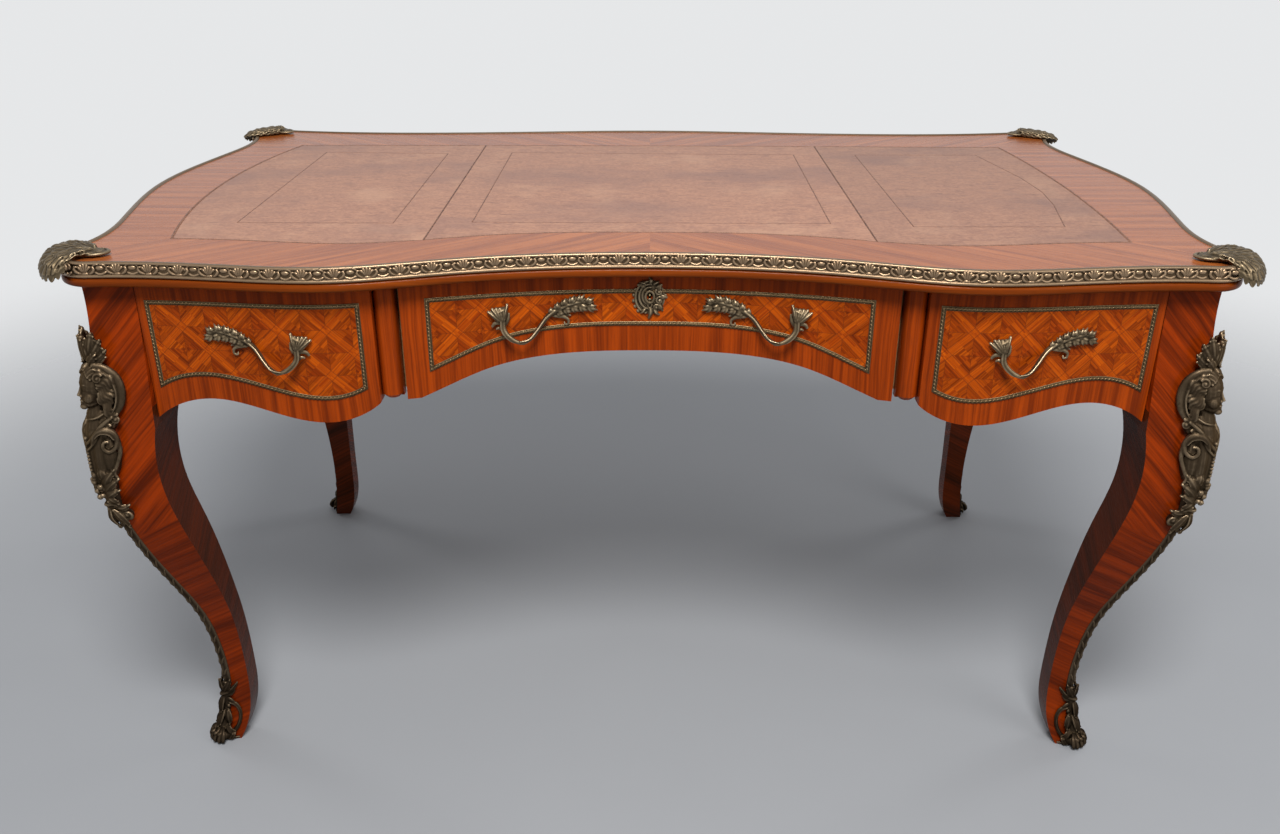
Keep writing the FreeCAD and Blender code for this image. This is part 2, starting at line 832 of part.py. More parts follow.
screw_places = [(sx * x, y) for sx in (-1, 1) for x, y in
                ((0.55 * drawer_gap_x, rail_back_y - rail_depth / 3),
                 (drawer_share(0.5), rail_back_y - rail_depth / 3),
                 (drawer_gap_x, 0.3 * leg_in_y), (drawer_gap_x, 0.8 * leg_in_y))]
top_screws = [make_top_screw(x, y) for x, y in screw_places]
top_holes = [hole for screw, hole in top_screws]
top_board = top_board.cut(top_holes)
rail = rail.cut(top_holes + [make_strike()])
kickers = [k.cut(top_holes) for k in (kicker, flip_x(kicker))]
corner_mount = make_corner_mount([top_board, border, edge_front, edge_end])
back_mount = flip_y(make_corner_mount([flip_y(s) for s in (top_board, border, edge_back, edge_end)]))

# Side drawer on the right, and its mirror on the left
side_front = make_side_front()
pilaster = make_pilaster()
side_x0 = drawer_gap_x + partition_board / 2 + box_clear
side_low = frieze_top - side_runner_drop + runner_height + running_gap
side_box = make_box(side_x0, leg_in_x - box_clear, side_low)
handle_side_x = (side_in_x + side_out_x) / 2 + handle_side_shift
side_handle, side_front, side_screws = fit_handle(handle_side_x, handle_side_drop, False, side_front)
face_skin = band(frieze_points(joint_low), V(0, -trim_proud, 0), frieze_top)
side_trim = face_skin.common(ring(side_trim_points))

# Middle drawer
whole_front = band(frieze_points(joint_low), V(0, board, 0), drawer_top)
centre_front = whole_front.common(centre_elevation()).removeSplitter()
centre_x = drawer_gap_x - partition_board / 2 - box_clear
centre_low = frieze_top - centre_runner_drop + runner_height + running_gap
centre_box = make_box(-centre_x, centre_x, centre_low)
escutcheon = make_escutcheon(centre_front)
centre_trim = face_skin.common(ring(centre_trim_points)).cut(escutcheon)
lock_case, lock_bolt = make_lock(centre_front)
handle_a, centre_front, screws_a = fit_handle(-handle_centre_x, handle_centre_drop, False, centre_front)
handle_b, centre_front, screws_b = fit_handle(handle_centre_x, handle_centre_drop, True, centre_front)
handle_a = handle_a.cut(centre_trim)
handle_b = handle_b.cut(centre_trim)
centre_front = centre_front.cut(make_keyhole())
escutcheon = escutcheon.cut(make_keyhole())

# Trims of the finished back and ends
back_trims = [trim_on_back(ring(side_trim_points)), trim_on_back(ring(centre_trim_points))]
back_trims.append(flip_x(back_trims[0]))
end_ring = quarter_turn(upright(end_low_points(trim_lift), drawer_top - trim_top_gap).cut(
    upright(end_low_points(trim_lift + trim_width), drawer_top - trim_top_gap - trim_width)))
end_trim = band(end_panel_points(joint_low), V(trim_proud, 0, 0), frieze_top).common(end_ring)

# One file for each piece
keep("top_board", top_board)
keep("top_banding", border)
keep("leather_left", leather_left)
keep("leather_centre", leather_centre)
keep("leather_right", leather_right)
keep("edge_brass_front", edge_front)
keep("edge_brass_back", edge_back)
keep("edge_brass_ends", edge_end, flip_x(edge_end))
keep("corner_mount_front_right", corner_mount)
keep("corner_mount_front_left", flip_x(corner_mount))
keep("corner_mount_back_right", back_mount)
keep("corner_mount_back_left", flip_x(back_mount))
for piece, shape in (("leg", leg), ("bust_mount", bust), ("sabot", sabot)):
    for place, copy in four_corners(shape).items():
        keep(piece + "_" + place, copy)
keep("leg_edge_strips", *four_corners(strip).values())
keep("end_panel_right", end_panel)
keep("end_panel_left", flip_x(end_panel))
keep("back_apron", apron)
keep("front_rail", rail)
keep("partitions", wall, flip_x(wall))
runs = [inner_run, outer_run, centre_run, edge_kicker]
keep("drawer_runners", *runs, *[flip_x(run) for run in runs], *kickers)
keep("top_screws", *[screw for screw, hole in top_screws])
keep("panel_trims", *back_trims, end_trim, flip_x(end_trim))
for side, turn in (("right", lambda s: s), ("left", flip_x)):
    keep("drawer_" + side + "_front", turn(side_front))
    keep("drawer_" + side + "_sides", turn(side_box[0]), turn(side_box[1]))
    keep("drawer_" + side + "_back", turn(side_box[2]))
    keep("drawer_" + side + "_bottom", turn(side_box[3]))
    keep("drawer_" + side + "_trim", turn(side_trim))
    keep("pilaster_" + side, turn(pilaster))
    keep("handle_" + side, turn(side_handle))
    keep("handle_screws_" + side, *[turn(screw) for screw in side_screws])
keep("drawer_centre_front", centre_front)
keep("drawer_centre_sides", centre_box[0], centre_box[1])
keep("drawer_centre_back", centre_box[2])
keep("drawer_centre_bottom", centre_box[3])
keep("drawer_centre_trim", centre_trim)
keep("handle_centre_left", handle_a)
keep("handle_centre_right", handle_b)
keep("handle_screws_centre", *screws_a, *screws_b)
keep("escutcheon", escutcheon)
keep("lock_case", lock_case)
keep("lock_bolt", lock_bolt)
save_all()
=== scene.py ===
import json
import math
import bmesh
import bpy
import numpy as np
from mathutils import Matrix, Vector
from mathutils.bvhtree import BVHTree
from mathutils.geometry import delaunay_2d_cdt


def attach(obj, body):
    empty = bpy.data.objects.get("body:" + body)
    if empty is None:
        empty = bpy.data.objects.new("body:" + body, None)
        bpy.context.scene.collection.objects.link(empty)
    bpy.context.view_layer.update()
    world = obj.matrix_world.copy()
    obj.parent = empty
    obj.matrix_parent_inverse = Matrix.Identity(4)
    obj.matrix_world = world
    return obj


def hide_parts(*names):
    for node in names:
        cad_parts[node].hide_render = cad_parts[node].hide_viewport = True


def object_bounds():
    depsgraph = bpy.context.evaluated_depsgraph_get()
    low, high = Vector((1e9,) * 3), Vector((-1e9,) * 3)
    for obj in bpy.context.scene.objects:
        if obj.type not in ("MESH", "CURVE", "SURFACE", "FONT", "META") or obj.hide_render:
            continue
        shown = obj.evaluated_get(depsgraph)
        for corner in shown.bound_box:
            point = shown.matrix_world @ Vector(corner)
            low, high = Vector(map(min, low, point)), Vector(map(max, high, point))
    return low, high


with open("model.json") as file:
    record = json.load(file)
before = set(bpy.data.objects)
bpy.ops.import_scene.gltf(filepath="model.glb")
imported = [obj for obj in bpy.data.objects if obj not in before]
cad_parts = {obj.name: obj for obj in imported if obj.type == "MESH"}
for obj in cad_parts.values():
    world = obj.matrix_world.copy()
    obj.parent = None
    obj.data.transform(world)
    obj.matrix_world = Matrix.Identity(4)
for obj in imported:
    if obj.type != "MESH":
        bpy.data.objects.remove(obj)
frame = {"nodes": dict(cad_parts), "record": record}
nodes = frame["nodes"]
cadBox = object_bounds()
scene = bpy.context.scene
mm = 0.001


# rays against the frame, so that every ornament sits on the wood that carries it
def sightTree(*names):
    points, faces = [], []
    for name in names:
        mesh = nodes[name].data
        base = len(points)
        points += [v.co.copy() for v in mesh.vertices]
        faces += [[base + i for i in p.vertices] for p in mesh.polygons]
    return BVHTree.FromPolygons(points, faces)


def hit(tree, start, direction):
    return tree.ray_cast(Vector(start), Vector(direction))[0]


def softLine(points, count):  # smooth curve through a few points, evenly spaced
    pts = np.array(points, float)
    step = np.maximum(np.linalg.norm(np.diff(pts, axis=0), axis=1), 1e-9)
    t = np.concatenate([[0], np.cumsum(step)])
    slope = np.gradient(pts, t, axis=0) if len(pts) > 2 else np.repeat((pts[1:] - pts[:1]) / t[1], 2, 0)
    fine = np.linspace(0, t[-1], 12 * count)
    i = np.clip(np.searchsorted(t, fine, side="right") - 1, 0, len(t) - 2)
    h = (t[i + 1] - t[i])[:, None]
    f = ((fine - t[i]) / (t[i + 1] - t[i]))[:, None]
    curve = ((1 + 2 * f) * (1 - f) ** 2 * pts[i] + f * (1 - f) ** 2 * h * slope[i]
             + f * f * (3 - 2 * f) * pts[i + 1] + f * f * (f - 1) * h * slope[i + 1])
    return evenLine(curve, count)


def evenLine(points, count):
    pts = np.array(points, float)
    length = np.concatenate([[0], np.cumsum(np.linalg.norm(np.diff(pts, axis=0), axis=1))])
    marks = np.linspace(0, length[-1], count)
    return np.stack([np.interp(marks, length, pts[:, k]) for k in range(pts.shape[1])], axis=1)


def unit(v):
    v = np.array(v, float)
    return v / np.maximum(np.linalg.norm(v, axis=-1, keepdims=True), 1e-12)


# plain meshes
def meshPiece(name, points, faces, smooth=True):
    mesh = bpy.data.meshes.new(name)
    mesh.from_pydata([tuple(float(c) for c in p) for p in points], [], faces)
    mesh.polygons.foreach_set("use_smooth", [smooth] * len(mesh.polygons))
    mesh.update()
    piece = bpy.data.objects.new(name, mesh)
    scene.collection.objects.link(piece)
    return piece


def plainMesh(piece):  # bakes the modifiers into the mesh
    view = bpy.context.evaluated_depsgraph_get()
    mesh = bpy.data.meshes.new_from_object(piece.evaluated_get(view))
    mesh.name = piece.name
    piece.modifiers.clear()
    return mesh


def gridFaces(rows, columns, closedRows=False):  # each row is a closed ring
    faces = []
    for r in range(rows if closedRows else rows - 1):
        for c in range(columns):
            here, there, after = r * columns, (r + 1) % rows * columns, (c + 1) % columns
            faces.append((here + c, here + after, there + after, there + c))
    return faces


def mirrored(piece, name, flipX, flipY, middleY):
    points = np.array([v.co for v in piece.data.vertices])
    if flipX:
        points[:, 0] *= -1
    if flipY:
        points[:, 1] = 2 * middleY - points[:, 1]
    turn = flipX != flipY
    faces = [tuple(reversed(p.vertices)) if turn else tuple(p.vertices) for p in piece.data.polygons]
    return meshPiece(name, points, faces)


def settle(piece, body, slotName, material, *replaced):
    piece.data.materials.clear()
    piece.data.materials.append(material)
    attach(piece, body)
    if replaced:
        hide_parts(*replaced)
    return piece


# shader helpers
def put(tree, kind, settings=None, **sockets):
    node = tree.nodes.new(kind)
    for key, value in (settings or {}).items():
        setattr(node, key, value)
    for key, value in sockets.items():
        socket = node.inputs[int(key[1:])] if key[0] == "_" else node.inputs[key.replace("_", " ")]
        if isinstance(value, bpy.types.NodeSocket):
            tree.links.new(value, socket)
        else:
            socket.default_value = value
    return node


def maths(tree, operation, a, b=0.0, c=0.0):
    return put(tree, "ShaderNodeMath", {"operation": operation}, _0=a, _1=b, _2=c).outputs[0]


def times(tree, a, b):
    return maths(tree, "MULTIPLY", a, b)


def timesPlus(tree, a, b, c):
    return maths(tree, "MULTIPLY_ADD", a, b, c)


def plus(tree, a, b):
    return maths(tree, "ADD", a, b)


def minus(tree, a, b):
    return maths(tree, "SUBTRACT", a, b)


def above(tree, a, b):
    return maths(tree, "GREATER_THAN", a, b)


def below(tree, a, b):
    return maths(tree, "LESS_THAN", a, b)


def absolute(tree, a):
    return maths(tree, "ABSOLUTE", a)


def mixed(tree, factor, a, b, blend="MIX"):
    node = put(tree, "ShaderNodeMix", {"data_type": "RGBA", "blend_type": blend}, _0=factor, _6=a, _7=b)
    return node.outputs[2]


def noise(tree, vector, scale, detail, roughness):
    return put(tree, "ShaderNodeTexNoise", Vector=vector, Scale=scale, Detail=detail,
               Roughness=roughness).outputs[0]


def joinXYZ(tree, x, y, z=0.0):
    return put(tree, "ShaderNodeCombineXYZ", X=x, Y=y, Z=z).outputs[0]


def splitXYZ(tree, vector):
    return put(tree, "ShaderNodeSeparateXYZ", Vector=vector).outputs


def ramp(tree, value, low, high):
    return put(tree, "ShaderNodeMapRange", {"interpolation_type": "SMOOTHSTEP"}, _0=value, _1=low,
               _2=high).outputs[0]


def shaderGroup(name, inputs, outputs):
    group = bpy.data.node_groups.new(name, "ShaderNodeTree")
    for label, kind, value in inputs:
        socket = group.interface.new_socket(label, in_out="INPUT", socket_type="NodeSocket" + kind)
        if value is not None:
            socket.default_value = value
    for label, kind in outputs:
        group.interface.new_socket(label, in_out="OUTPUT", socket_type="NodeSocket" + kind)
    return group, group.nodes.new("NodeGroupInput").outputs, group.nodes.new("NodeGroupOutput").inputs


def useGroup(tree, group, **sockets):
    return put(tree, "ShaderNodeGroup", {"node_tree": group}, **sockets).outputs


def newMaterial(name, **constants):
    material = bpy.data.materials.new(name)
    material.use_nodes = True
    tree = material.node_tree
    shader = tree.nodes["Principled BSDF"]
    for key, value in constants.items():
        shader.inputs[key.replace("_", " ")].default_value = value
    return material, tree, shader


def dress(tree, shader, colour, roughness, height, strength, distance):
    tree.links.new(colour, shader.inputs["Base Color"])
    tree.links.new(roughness, shader.inputs["Roughness"])
    bump = put(tree, "ShaderNodeBump", Strength=strength, Distance=distance, Height=height)
    tree.links.new(bump.outputs[0], shader.inputs["Normal"])


finishSockets = [("Colour", "Color"), ("Roughness", "Float"), ("Height", "Float")]


def objectSpot(tree):
    return put(tree, "ShaderNodeTexCoord").outputs["Object"]


# wood: streaks and pores, with the grain along x of the vector that comes in, in metres
figureLook = {"wander": 0.012, "wanderAlong": 5.0, "wanderAcross": 9.0, "streakAlong": 1.6,
              "thinAlong": 6.0, "thinAcross": 6.0, "poreAlong": 45.0, "poreAcross": 1500.0,
              "pore": (0.05, 0.012, 0.004, 1), "poreDepth": 0.28, "poreEdge": (0.30, 0.52),
              "poreGloss": -0.10, "roughness": 0.36, "thinShare": 0.45, "streakShare": 0.75,
              "evenTone": 0.6, "toneEdge": (-0.16, 0.17), "relief": 0.4}


def makeWoodFigure():
    look = figureLook
    inputs = [("Grain", "Vector", None), ("Light", "Color", None), ("Dark", "Color", None),
              ("Streaks", "Float", 70.0), ("Contrast", "Float", 1.0)]
    group, given, out = shaderGroup("woodFigure", inputs, finishSockets)
    along, across, layer = splitXYZ(group, given["Grain"])

    def fibres(lengthwise, crosswise, detail, roughness):
        return noise(group, joinXYZ(group, times(group, along, lengthwise), crosswise, layer), 1.0, detail,
                     roughness)

    wander = fibres(look["wanderAlong"], times(group, across, look["wanderAcross"]), 2.0, 0.55)
    bent = timesPlus(group, wander, look["wander"], across)
    wide = times(group, bent, given["Streaks"])
    streak = fibres(look["streakAlong"], wide, 4.0, 0.62)
    thin = fibres(look["thinAlong"], times(group, wide, look["thinAcross"]), 3.0, 0.6)
    pores = fibres(look["poreAlong"], times(group, across, look["poreAcross"]), 2.0, 0.5)
    tone = timesPlus(group, thin, look["thinShare"], times(group, streak, look["streakShare"]))
    spread = times(group, minus(group, tone, look["evenTone"]), given["Contrast"])
    body = mixed(group, ramp(group, spread, *look["toneEdge"]), given["Dark"], given["Light"])
    pit = ramp(group, pores, *look["poreEdge"])
    filled = timesPlus(group, pit, look["poreDepth"], 1 - look["poreDepth"])
    group.links.new(mixed(group, filled, look["pore"], body), out["Colour"])
    group.links.new(timesPlus(group, pit, look["poreGloss"], look["roughness"]), out["Roughness"])
    group.links.new(timesPlus(group, streak, look["relief"], times(group, pit, look["relief"])),
                    out["Height"])
    return group


woodFigure = makeWoodFigure()
grainDepth = 0.0006
polish = {"Coat_Weight": 0.025, "Coat_Roughness": 0.10, "Specular_IOR_Level": 0.05}
topPolish = {"Coat_Weight": 0.13, "Coat_Roughness": 0.14, "Specular_IOR_Level": 0.22}


def woodMaterial(name, look, grain):
    material, tree, shader = newMaterial(name, **look.get("polish", polish))
    vector, light, dark = grain(tree, look)
    wood = useGroup(tree, woodFigure, Grain=vector, Light=light, Dark=dark, Streaks=look["streaks"],
                    Contrast=look["contrast"])
    dress(tree, shader, wood["Colour"], wood["Roughness"], wood["Height"], look["bump"], grainDepth)
    return material


def rotated(tree, a, b, degrees, layer):  # grain vector that lies at an angle in the plane of a and b
    c, s = math.cos(math.radians(degrees)), math.sin(math.radians(degrees))
    along = timesPlus(tree, a, c, times(tree, b, s))
    across = timesPlus(tree, a, -s, times(tree, b, c))
    return joinXYZ(tree, along, across, layer)


def chosen(tree, factor, a, b):
    return put(tree, "ShaderNodeMix", {"data_type": "VECTOR"}, _0=factor, _4=a, _5=b).outputs[1]


# legs: below the drawers the inner faces are darker, partly a darker veneer and partly painted shade; the
# back legs get a lighter copy of that colour, painted light where the lamps reach them
legVeneerLook = {"light": (0.335, 0.038, 0.0015, 1), "dark": (0.085, 0.010, 0.001, 1),
                 "inside": (0.085, 0.017, 0.004, 1), "insideBack": (0.170, 0.028, 0.006, 1),
                 "insideDark": (0.035, 0.009, 0.003, 1), "insideBelow": 0.585, "streaks": 44.0,
                 "contrast": 0.95, "bump": 0.12, "upperAngle": 132.0, "lowerAngle": 152.0,
                 "kneeJoin": 0.405}


def legGrain(tree, look):
    x, y, z = splitXYZ(tree, objectSpot(tree))
    nx, ny, _ = splitXYZ(tree, put(tree, "ShaderNodeNewGeometry").outputs["Normal"])
    sideFace = above(tree, absolute(tree, nx), absolute(tree, ny))
    wide = put(tree, "ShaderNodeMix", _0=sideFace, _2=absolute(tree, x), _3=absolute(tree, y)).outputs[0]
    layer = timesPlus(tree, sideFace, 3.0, maths(tree, "SIGN", x))
    lower = below(tree, timesPlus(tree, wide, 0.5, z), look["kneeJoin"] + 0.33)
    grain = chosen(tree, lower, rotated(tree, wide, z, look["upperAngle"], layer),
                   rotated(tree, wide, z, look["lowerAngle"], plus(tree, layer, 9.0)))
    facing = maths(tree, "MINIMUM", times(tree, nx, maths(tree, "SIGN", x)),
                   times(tree, ny, maths(tree, "SIGN", y)))
    # mask of the inner faces that take the darker veneer with painted shade, the lighter painted-light copy
    # on the back legs
    inner = times(tree, below(tree, facing, -0.25), below(tree, z, look["insideBelow"]))
    inside = mixed(tree, above(tree, y, 0.0), look["inside"], look["insideBack"])
    light = mixed(tree, inner, look["light"], inside)
    lowTone = times(tree, lower, 0.35)
    toned = mixed(tree, lowTone, light, look["dark"])
    return grain, toned, mixed(tree, inner, look["dark"], look["insideDark"])


crossbandLook = {"light": (0.37, 0.052, 0.003, 1), "dark": (0.155, 0.020, 0.002, 1), "streaks": 60.0,
                 "contrast": 1.0, "bump": 0.12}


def uprightGrain(tree, look):  # grain runs up the board
    x, y, z = splitXYZ(tree, objectSpot(tree))
    nx, _, _ = splitXYZ(tree, put(tree, "ShaderNodeNewGeometry").outputs["Normal"])
    endFace = above(tree, absolute(tree, nx), 0.85)
    across = put(tree, "ShaderNodeMix", _0=endFace, _2=x, _3=y).outputs[0]
    return joinXYZ(tree, z, across, 2.0), look["light"], look["dark"]


borderLook = {"light": (0.375, 0.110, 0.024, 1), "dark": (0.185, 0.041, 0.008, 1), "streaks": 60.0,
              "contrast": 0.9, "bump": 0.08, "polish": topPolish, "fan": 38.0, "cornerX": 0.615,
              "cornerY": 0.300}


def borderGrain(tree, look):  # mitred border: chevron on the long sides, crosswise at the ends
    x, y, _ = splitXYZ(tree, objectSpot(tree))
    wide, deep = absolute(tree, x), absolute(tree, y)
    endZone = above(tree, minus(tree, wide, look["cornerX"]), minus(tree, deep, look["cornerY"]))
    side = maths(tree, "SIGN", x)
    grain = chosen(tree, endZone, rotated(tree, wide, deep, look["fan"], side),
                   joinXYZ(tree, wide, y, plus(tree, side, 5.0)))
    return grain, look["light"], look["dark"]


lipLook = {"light": (0.24, 0.047, 0.003, 1), "dark": (0.13, 0.022, 0.002, 1), "streaks": 160.0,
           "contrast": 0.7, "bump": 0.06}


def levelGrain(tree, look):  # grain runs along x, and along y on the ends
    x, y, z = splitXYZ(tree, objectSpot(tree))
    return joinXYZ(tree, plus(tree, x, y), timesPlus(tree, y, 0.3, z), 1.0), look["light"], look["dark"]


oakLook = {"light": (0.40, 0.24, 0.115, 1), "dark": (0.24, 0.13, 0.055, 1), "streaks": 110.0,
           "contrast": 0.9, "bump": 0.25}


def depthGrain(tree, look):  # grain runs from front to back
    x, y, z = splitXYZ(tree, objectSpot(tree))
    return joinXYZ(tree, y, plus(tree, x, z), times(tree, z, 4.0)), look["light"], look["dark"]


def frontGrain(tree, look):  # drawer front: veneer outside, bare oak on the side of the box
    vector, light, dark = uprightGrain(tree, look)
    x, _, z = splitXYZ(tree, objectSpot(tree))
    _, ny, _ = splitXYZ(tree, put(tree, "ShaderNodeNewGeometry").outputs["Normal"])
    inside = above(tree, ny, 0.6)
    return (chosen(tree, inside, vector, joinXYZ(tree, x, z, 6.0)),
            mixed(tree, inside, light, oakLook["light"]), mixed(tree, inside, dark, oakLook["dark"]))


legVeneer = woodMaterial("legVeneer", legVeneerLook, legGrain)
crossband = woodMaterial("crossbandVeneer", crossbandLook, uprightGrain)
frontVeneer = woodMaterial("frontVeneer", crossbandLook, frontGrain)
borderVeneer = woodMaterial("borderVeneer", borderLook, borderGrain)
lipWood = woodMaterial("lipWood", lipLook, levelGrain)
innerOak = woodMaterial("innerOak", oakLook, depthGrain)


# parquetry: a lattice of bands at 45 degrees with quartered diamonds between them
parquetLook = {"cell": 0.0430, "band": 0.115, "light": (0.56, 0.100, 0.003, 1),
               "middle": (0.30, 0.036, 0.002, 1), "dark": (0.130, 0.016, 0.001, 1),
               "seam": (0.10, 0.020, 0.005, 1), "streaks": 230.0, "rings": 9.0, "ringTone": 0.16,
               "pieceTone": 0.40, "turnTone": 0.35, "seamEdge": (0.004, 0.016), "seamShow": 0.6,
               "seamHeight": 0.5, "bandDark": 0.7, "contrast": 0.8, "bump": 0.10}


def makeLattice():
    look = parquetLook
    inputs = [("Spot", "Vector", None), ("Cell", "Float", 0.06), ("Band", "Float", 0.13)]
    outputs = [("Grain", "Vector"), ("BandMask", "Float"), ("Tone", "Float"), ("Joint", "Float")]
    group, given, out = shaderGroup("lattice", inputs, outputs)
    u, v, _ = splitXYZ(group, given["Spot"])
    half = math.sqrt(0.5)
    p = maths(group, "DIVIDE", times(group, plus(group, u, v), half), given["Cell"])
    q = maths(group, "DIVIDE", times(group, minus(group, u, v), half), given["Cell"])
    cellP, cellQ = maths(group, "FLOOR", p), maths(group, "FLOOR", q)
    fp = minus(group, minus(group, p, cellP), 0.5)
    fq = minus(group, minus(group, q, cellQ), 0.5)
    ap, aq = absolute(group, fp), absolute(group, fq)
    edge = minus(group, 0.5, given["Band"])
    bandP, bandQ = above(group, ap, edge), above(group, aq, edge)
    band = maths(group, "MAXIMUM", bandP, bandQ)
    wideP = above(group, ap, aq)
    quarter = timesPlus(group, above(group, fp, 0.0), 2.0, above(group, fq, 0.0))
    seed = timesPlus(group, cellP, 7.3, timesPlus(group, cellQ, 3.1, quarter))
    chance = put(group, "ShaderNodeTexWhiteNoise", {"noise_dimensions": "2D"},
                 Vector=joinXYZ(group, seed, timesPlus(group, band, 11.0, wideP))).outputs[0]
    # in a diamond the grain follows its sides, in a band it follows the band
    alongQ = put(group, "ShaderNodeMix", _0=band, _2=wideP, _3=bandP).outputs[0]
    size = given["Cell"]
    grainP = joinXYZ(group, times(group, p, size), times(group, q, size), seed)
    grainQ = joinXYZ(group, times(group, q, size), times(group, p, size), seed)
    group.links.new(chosen(group, alongQ, grainP, grainQ), out["Grain"])
    group.links.new(band, out["BandMask"])
    further = maths(group, "MAXIMUM", ap, aq)
    rings = above(group, maths(group, "MODULO", times(group, further, look["rings"]), 1.0), 0.5)
    turned = times(group, wideP, look["turnTone"])
    tone = timesPlus(group, chance, look["pieceTone"], timesPlus(group, rings, look["ringTone"], turned))
    group.links.new(tone, out["Tone"])
    seamBand = maths(group, "MINIMUM", absolute(group, minus(group, ap, edge)),
                     absolute(group, minus(group, aq, edge)))
    seamDiamond = plus(group, band, absolute(group, minus(group, ap, aq)))
    seam = maths(group, "MINIMUM", seamBand, seamDiamond)
    group.links.new(ramp(group, seam, *look["seamEdge"]), out["Joint"])
    return group


lattice = makeLattice()


def makeParquetry():
    look = parquetLook
    material, tree, shader = newMaterial("parquetryVeneer", **polish)
    spot = put(tree, "ShaderNodeUVMap", {"uv_map": "veneer"}).outputs[0]
    laid = useGroup(tree, lattice, Spot=spot, Cell=look["cell"], Band=look["band"])
    light = mixed(tree, laid["Tone"], look["light"], look["middle"])
    light = mixed(tree, laid["BandMask"], light, look["light"])
    dark = mixed(tree, times(tree, laid["BandMask"], look["bandDark"]), look["dark"], look["middle"])
    wood = useGroup(tree, woodFigure, Grain=laid["Grain"], Light=light, Dark=dark, Streaks=look["streaks"],
                    Contrast=look["contrast"])
    shown = timesPlus(tree, laid["Joint"], look["seamShow"], 1 - look["seamShow"])
    seamed = mixed(tree, shown, look["seam"], wood["Colour"])
    height = timesPlus(tree, laid["Joint"], look["seamHeight"], wood["Height"])
    dress(tree, shader, seamed, wood["Roughness"], height, look["bump"], grainDepth)
    return material


parquetry = makeParquetry()

# leather: worn tan hide with mottled patches, fine grain and scuffs
leatherLook = {"light": (0.360, 0.176, 0.106, 1), "dark": (0.240, 0.103, 0.062, 1),
               "mauve": (0.165, 0.078, 0.060, 1), "scuff": (0.120, 0.046, 0.026, 1),
               "rubbed": (0.43, 0.235, 0.145, 1), "cloudScale": 3.6, "patchScale": 9.0, "hideScale": 34.0,
               "speckScale": 170.0, "grainScale": 620.0, "scuffScale": (38.0, 210.0), "hideShare": 0.42,
               "speckShare": 0.58, "mottleEdge": (0.42, 0.58), "rubbedEdge": (0.52, 0.72),
               "rubbedShare": 0.45, "cloudEdge": (0.46, 0.70), "cloudShare": 0.60,
               "scuffEdge": (0.56, 0.66), "scuffShare": 0.75, "scuffDepth": -0.6, "roughness": 0.40,
               "uneven": 0.16, "bump": 0.18, "bumpDepth": 0.0005}


def makeLeather(name, shift, tone):
    look = leatherLook
    material, tree, shader = newMaterial(name, Specular_IOR_Level=0.42, Coat_Weight=0.12,
                                         Coat_Roughness=0.34)
    x, y, _ = splitXYZ(tree, objectSpot(tree))
    spot = joinXYZ(tree, x, y, shift)
    cloud = noise(tree, joinXYZ(tree, x, times(tree, y, 1.7), shift), look["cloudScale"], 3.0, 0.55)
    patch = noise(tree, joinXYZ(tree, y, x, plus(tree, shift, 4.0)), look["patchScale"], 4.0, 0.6)
    hide = noise(tree, joinXYZ(tree, x, times(tree, y, 2.2), shift), look["hideScale"], 6.0, 0.7)
    speck = noise(tree, joinXYZ(tree, x, times(tree, y, 1.3), shift), look["speckScale"], 5.0, 0.72)
    grain = put(tree, "ShaderNodeTexVoronoi", Vector=spot, Scale=look["grainScale"]).outputs[0]
    wide, deep = times(tree, x, look["scuffScale"][0]), times(tree, y, look["scuffScale"][1])
    scuffs = noise(tree, joinXYZ(tree, wide, deep, shift), 1.0, 4.0, 0.7)
    mottle = timesPlus(tree, hide, look["hideShare"], times(tree, speck, look["speckShare"]))
    base = mixed(tree, ramp(tree, mottle, *look["mottleEdge"]), look["dark"], look["light"])

    def patched(under, mask, kind, colour):
        share = times(tree, ramp(tree, mask, *look[kind + "Edge"]), look[kind + "Share"])
        return mixed(tree, share, under, look[colour])

    rubbed = patched(base, patch, "rubbed", "rubbed")
    clouded = patched(rubbed, cloud, "cloud", "mauve")
    worn = patched(clouded, scuffs, "scuff", "scuff")
    toned = mixed(tree, 1.0, worn, (tone, tone, tone, 1), "MULTIPLY")
    rough = timesPlus(tree, hide, look["uneven"], look["roughness"])
    height = timesPlus(tree, scuffs, look["scuffDepth"], grain)
    dress(tree, shader, toned, rough, height, look["bump"], look["bumpDepth"])
    return material


leathers = {name: makeLeather("leather_" + name, shift, tone)
            for name, shift, tone in (("left", 0.0, 1.0), ("centre", 3.0, 1.0), ("right", 7.0, 0.88))}


# bronze: dark in the hollows, rubbed bright on what stands out
patinaLook = {"cloud": 38.0, "fine": 900.0, "speck": (0.07, 0.05, 0.03, 1),
              "dustAndShadeColour": (0.050, 0.030, 0.016, 1), "metal": 0.85, "roughness": 0.38, "mottle": 0.06,
              "hollowEdge": (0.465, 0.505), "raisedEdge": (0.502, 0.555), "speckEdge": (0.45, 0.7),
              "speckShare": 0.25, "uneven": 0.16, "rubbedGloss": -0.16, "dustUp": (0.55, 0.9),
              "dustAndShadeInward": (-0.05, -0.20), "dustAndShadeMetal": -0.8, "bump": 0.10, "bumpDepth": 0.0004}


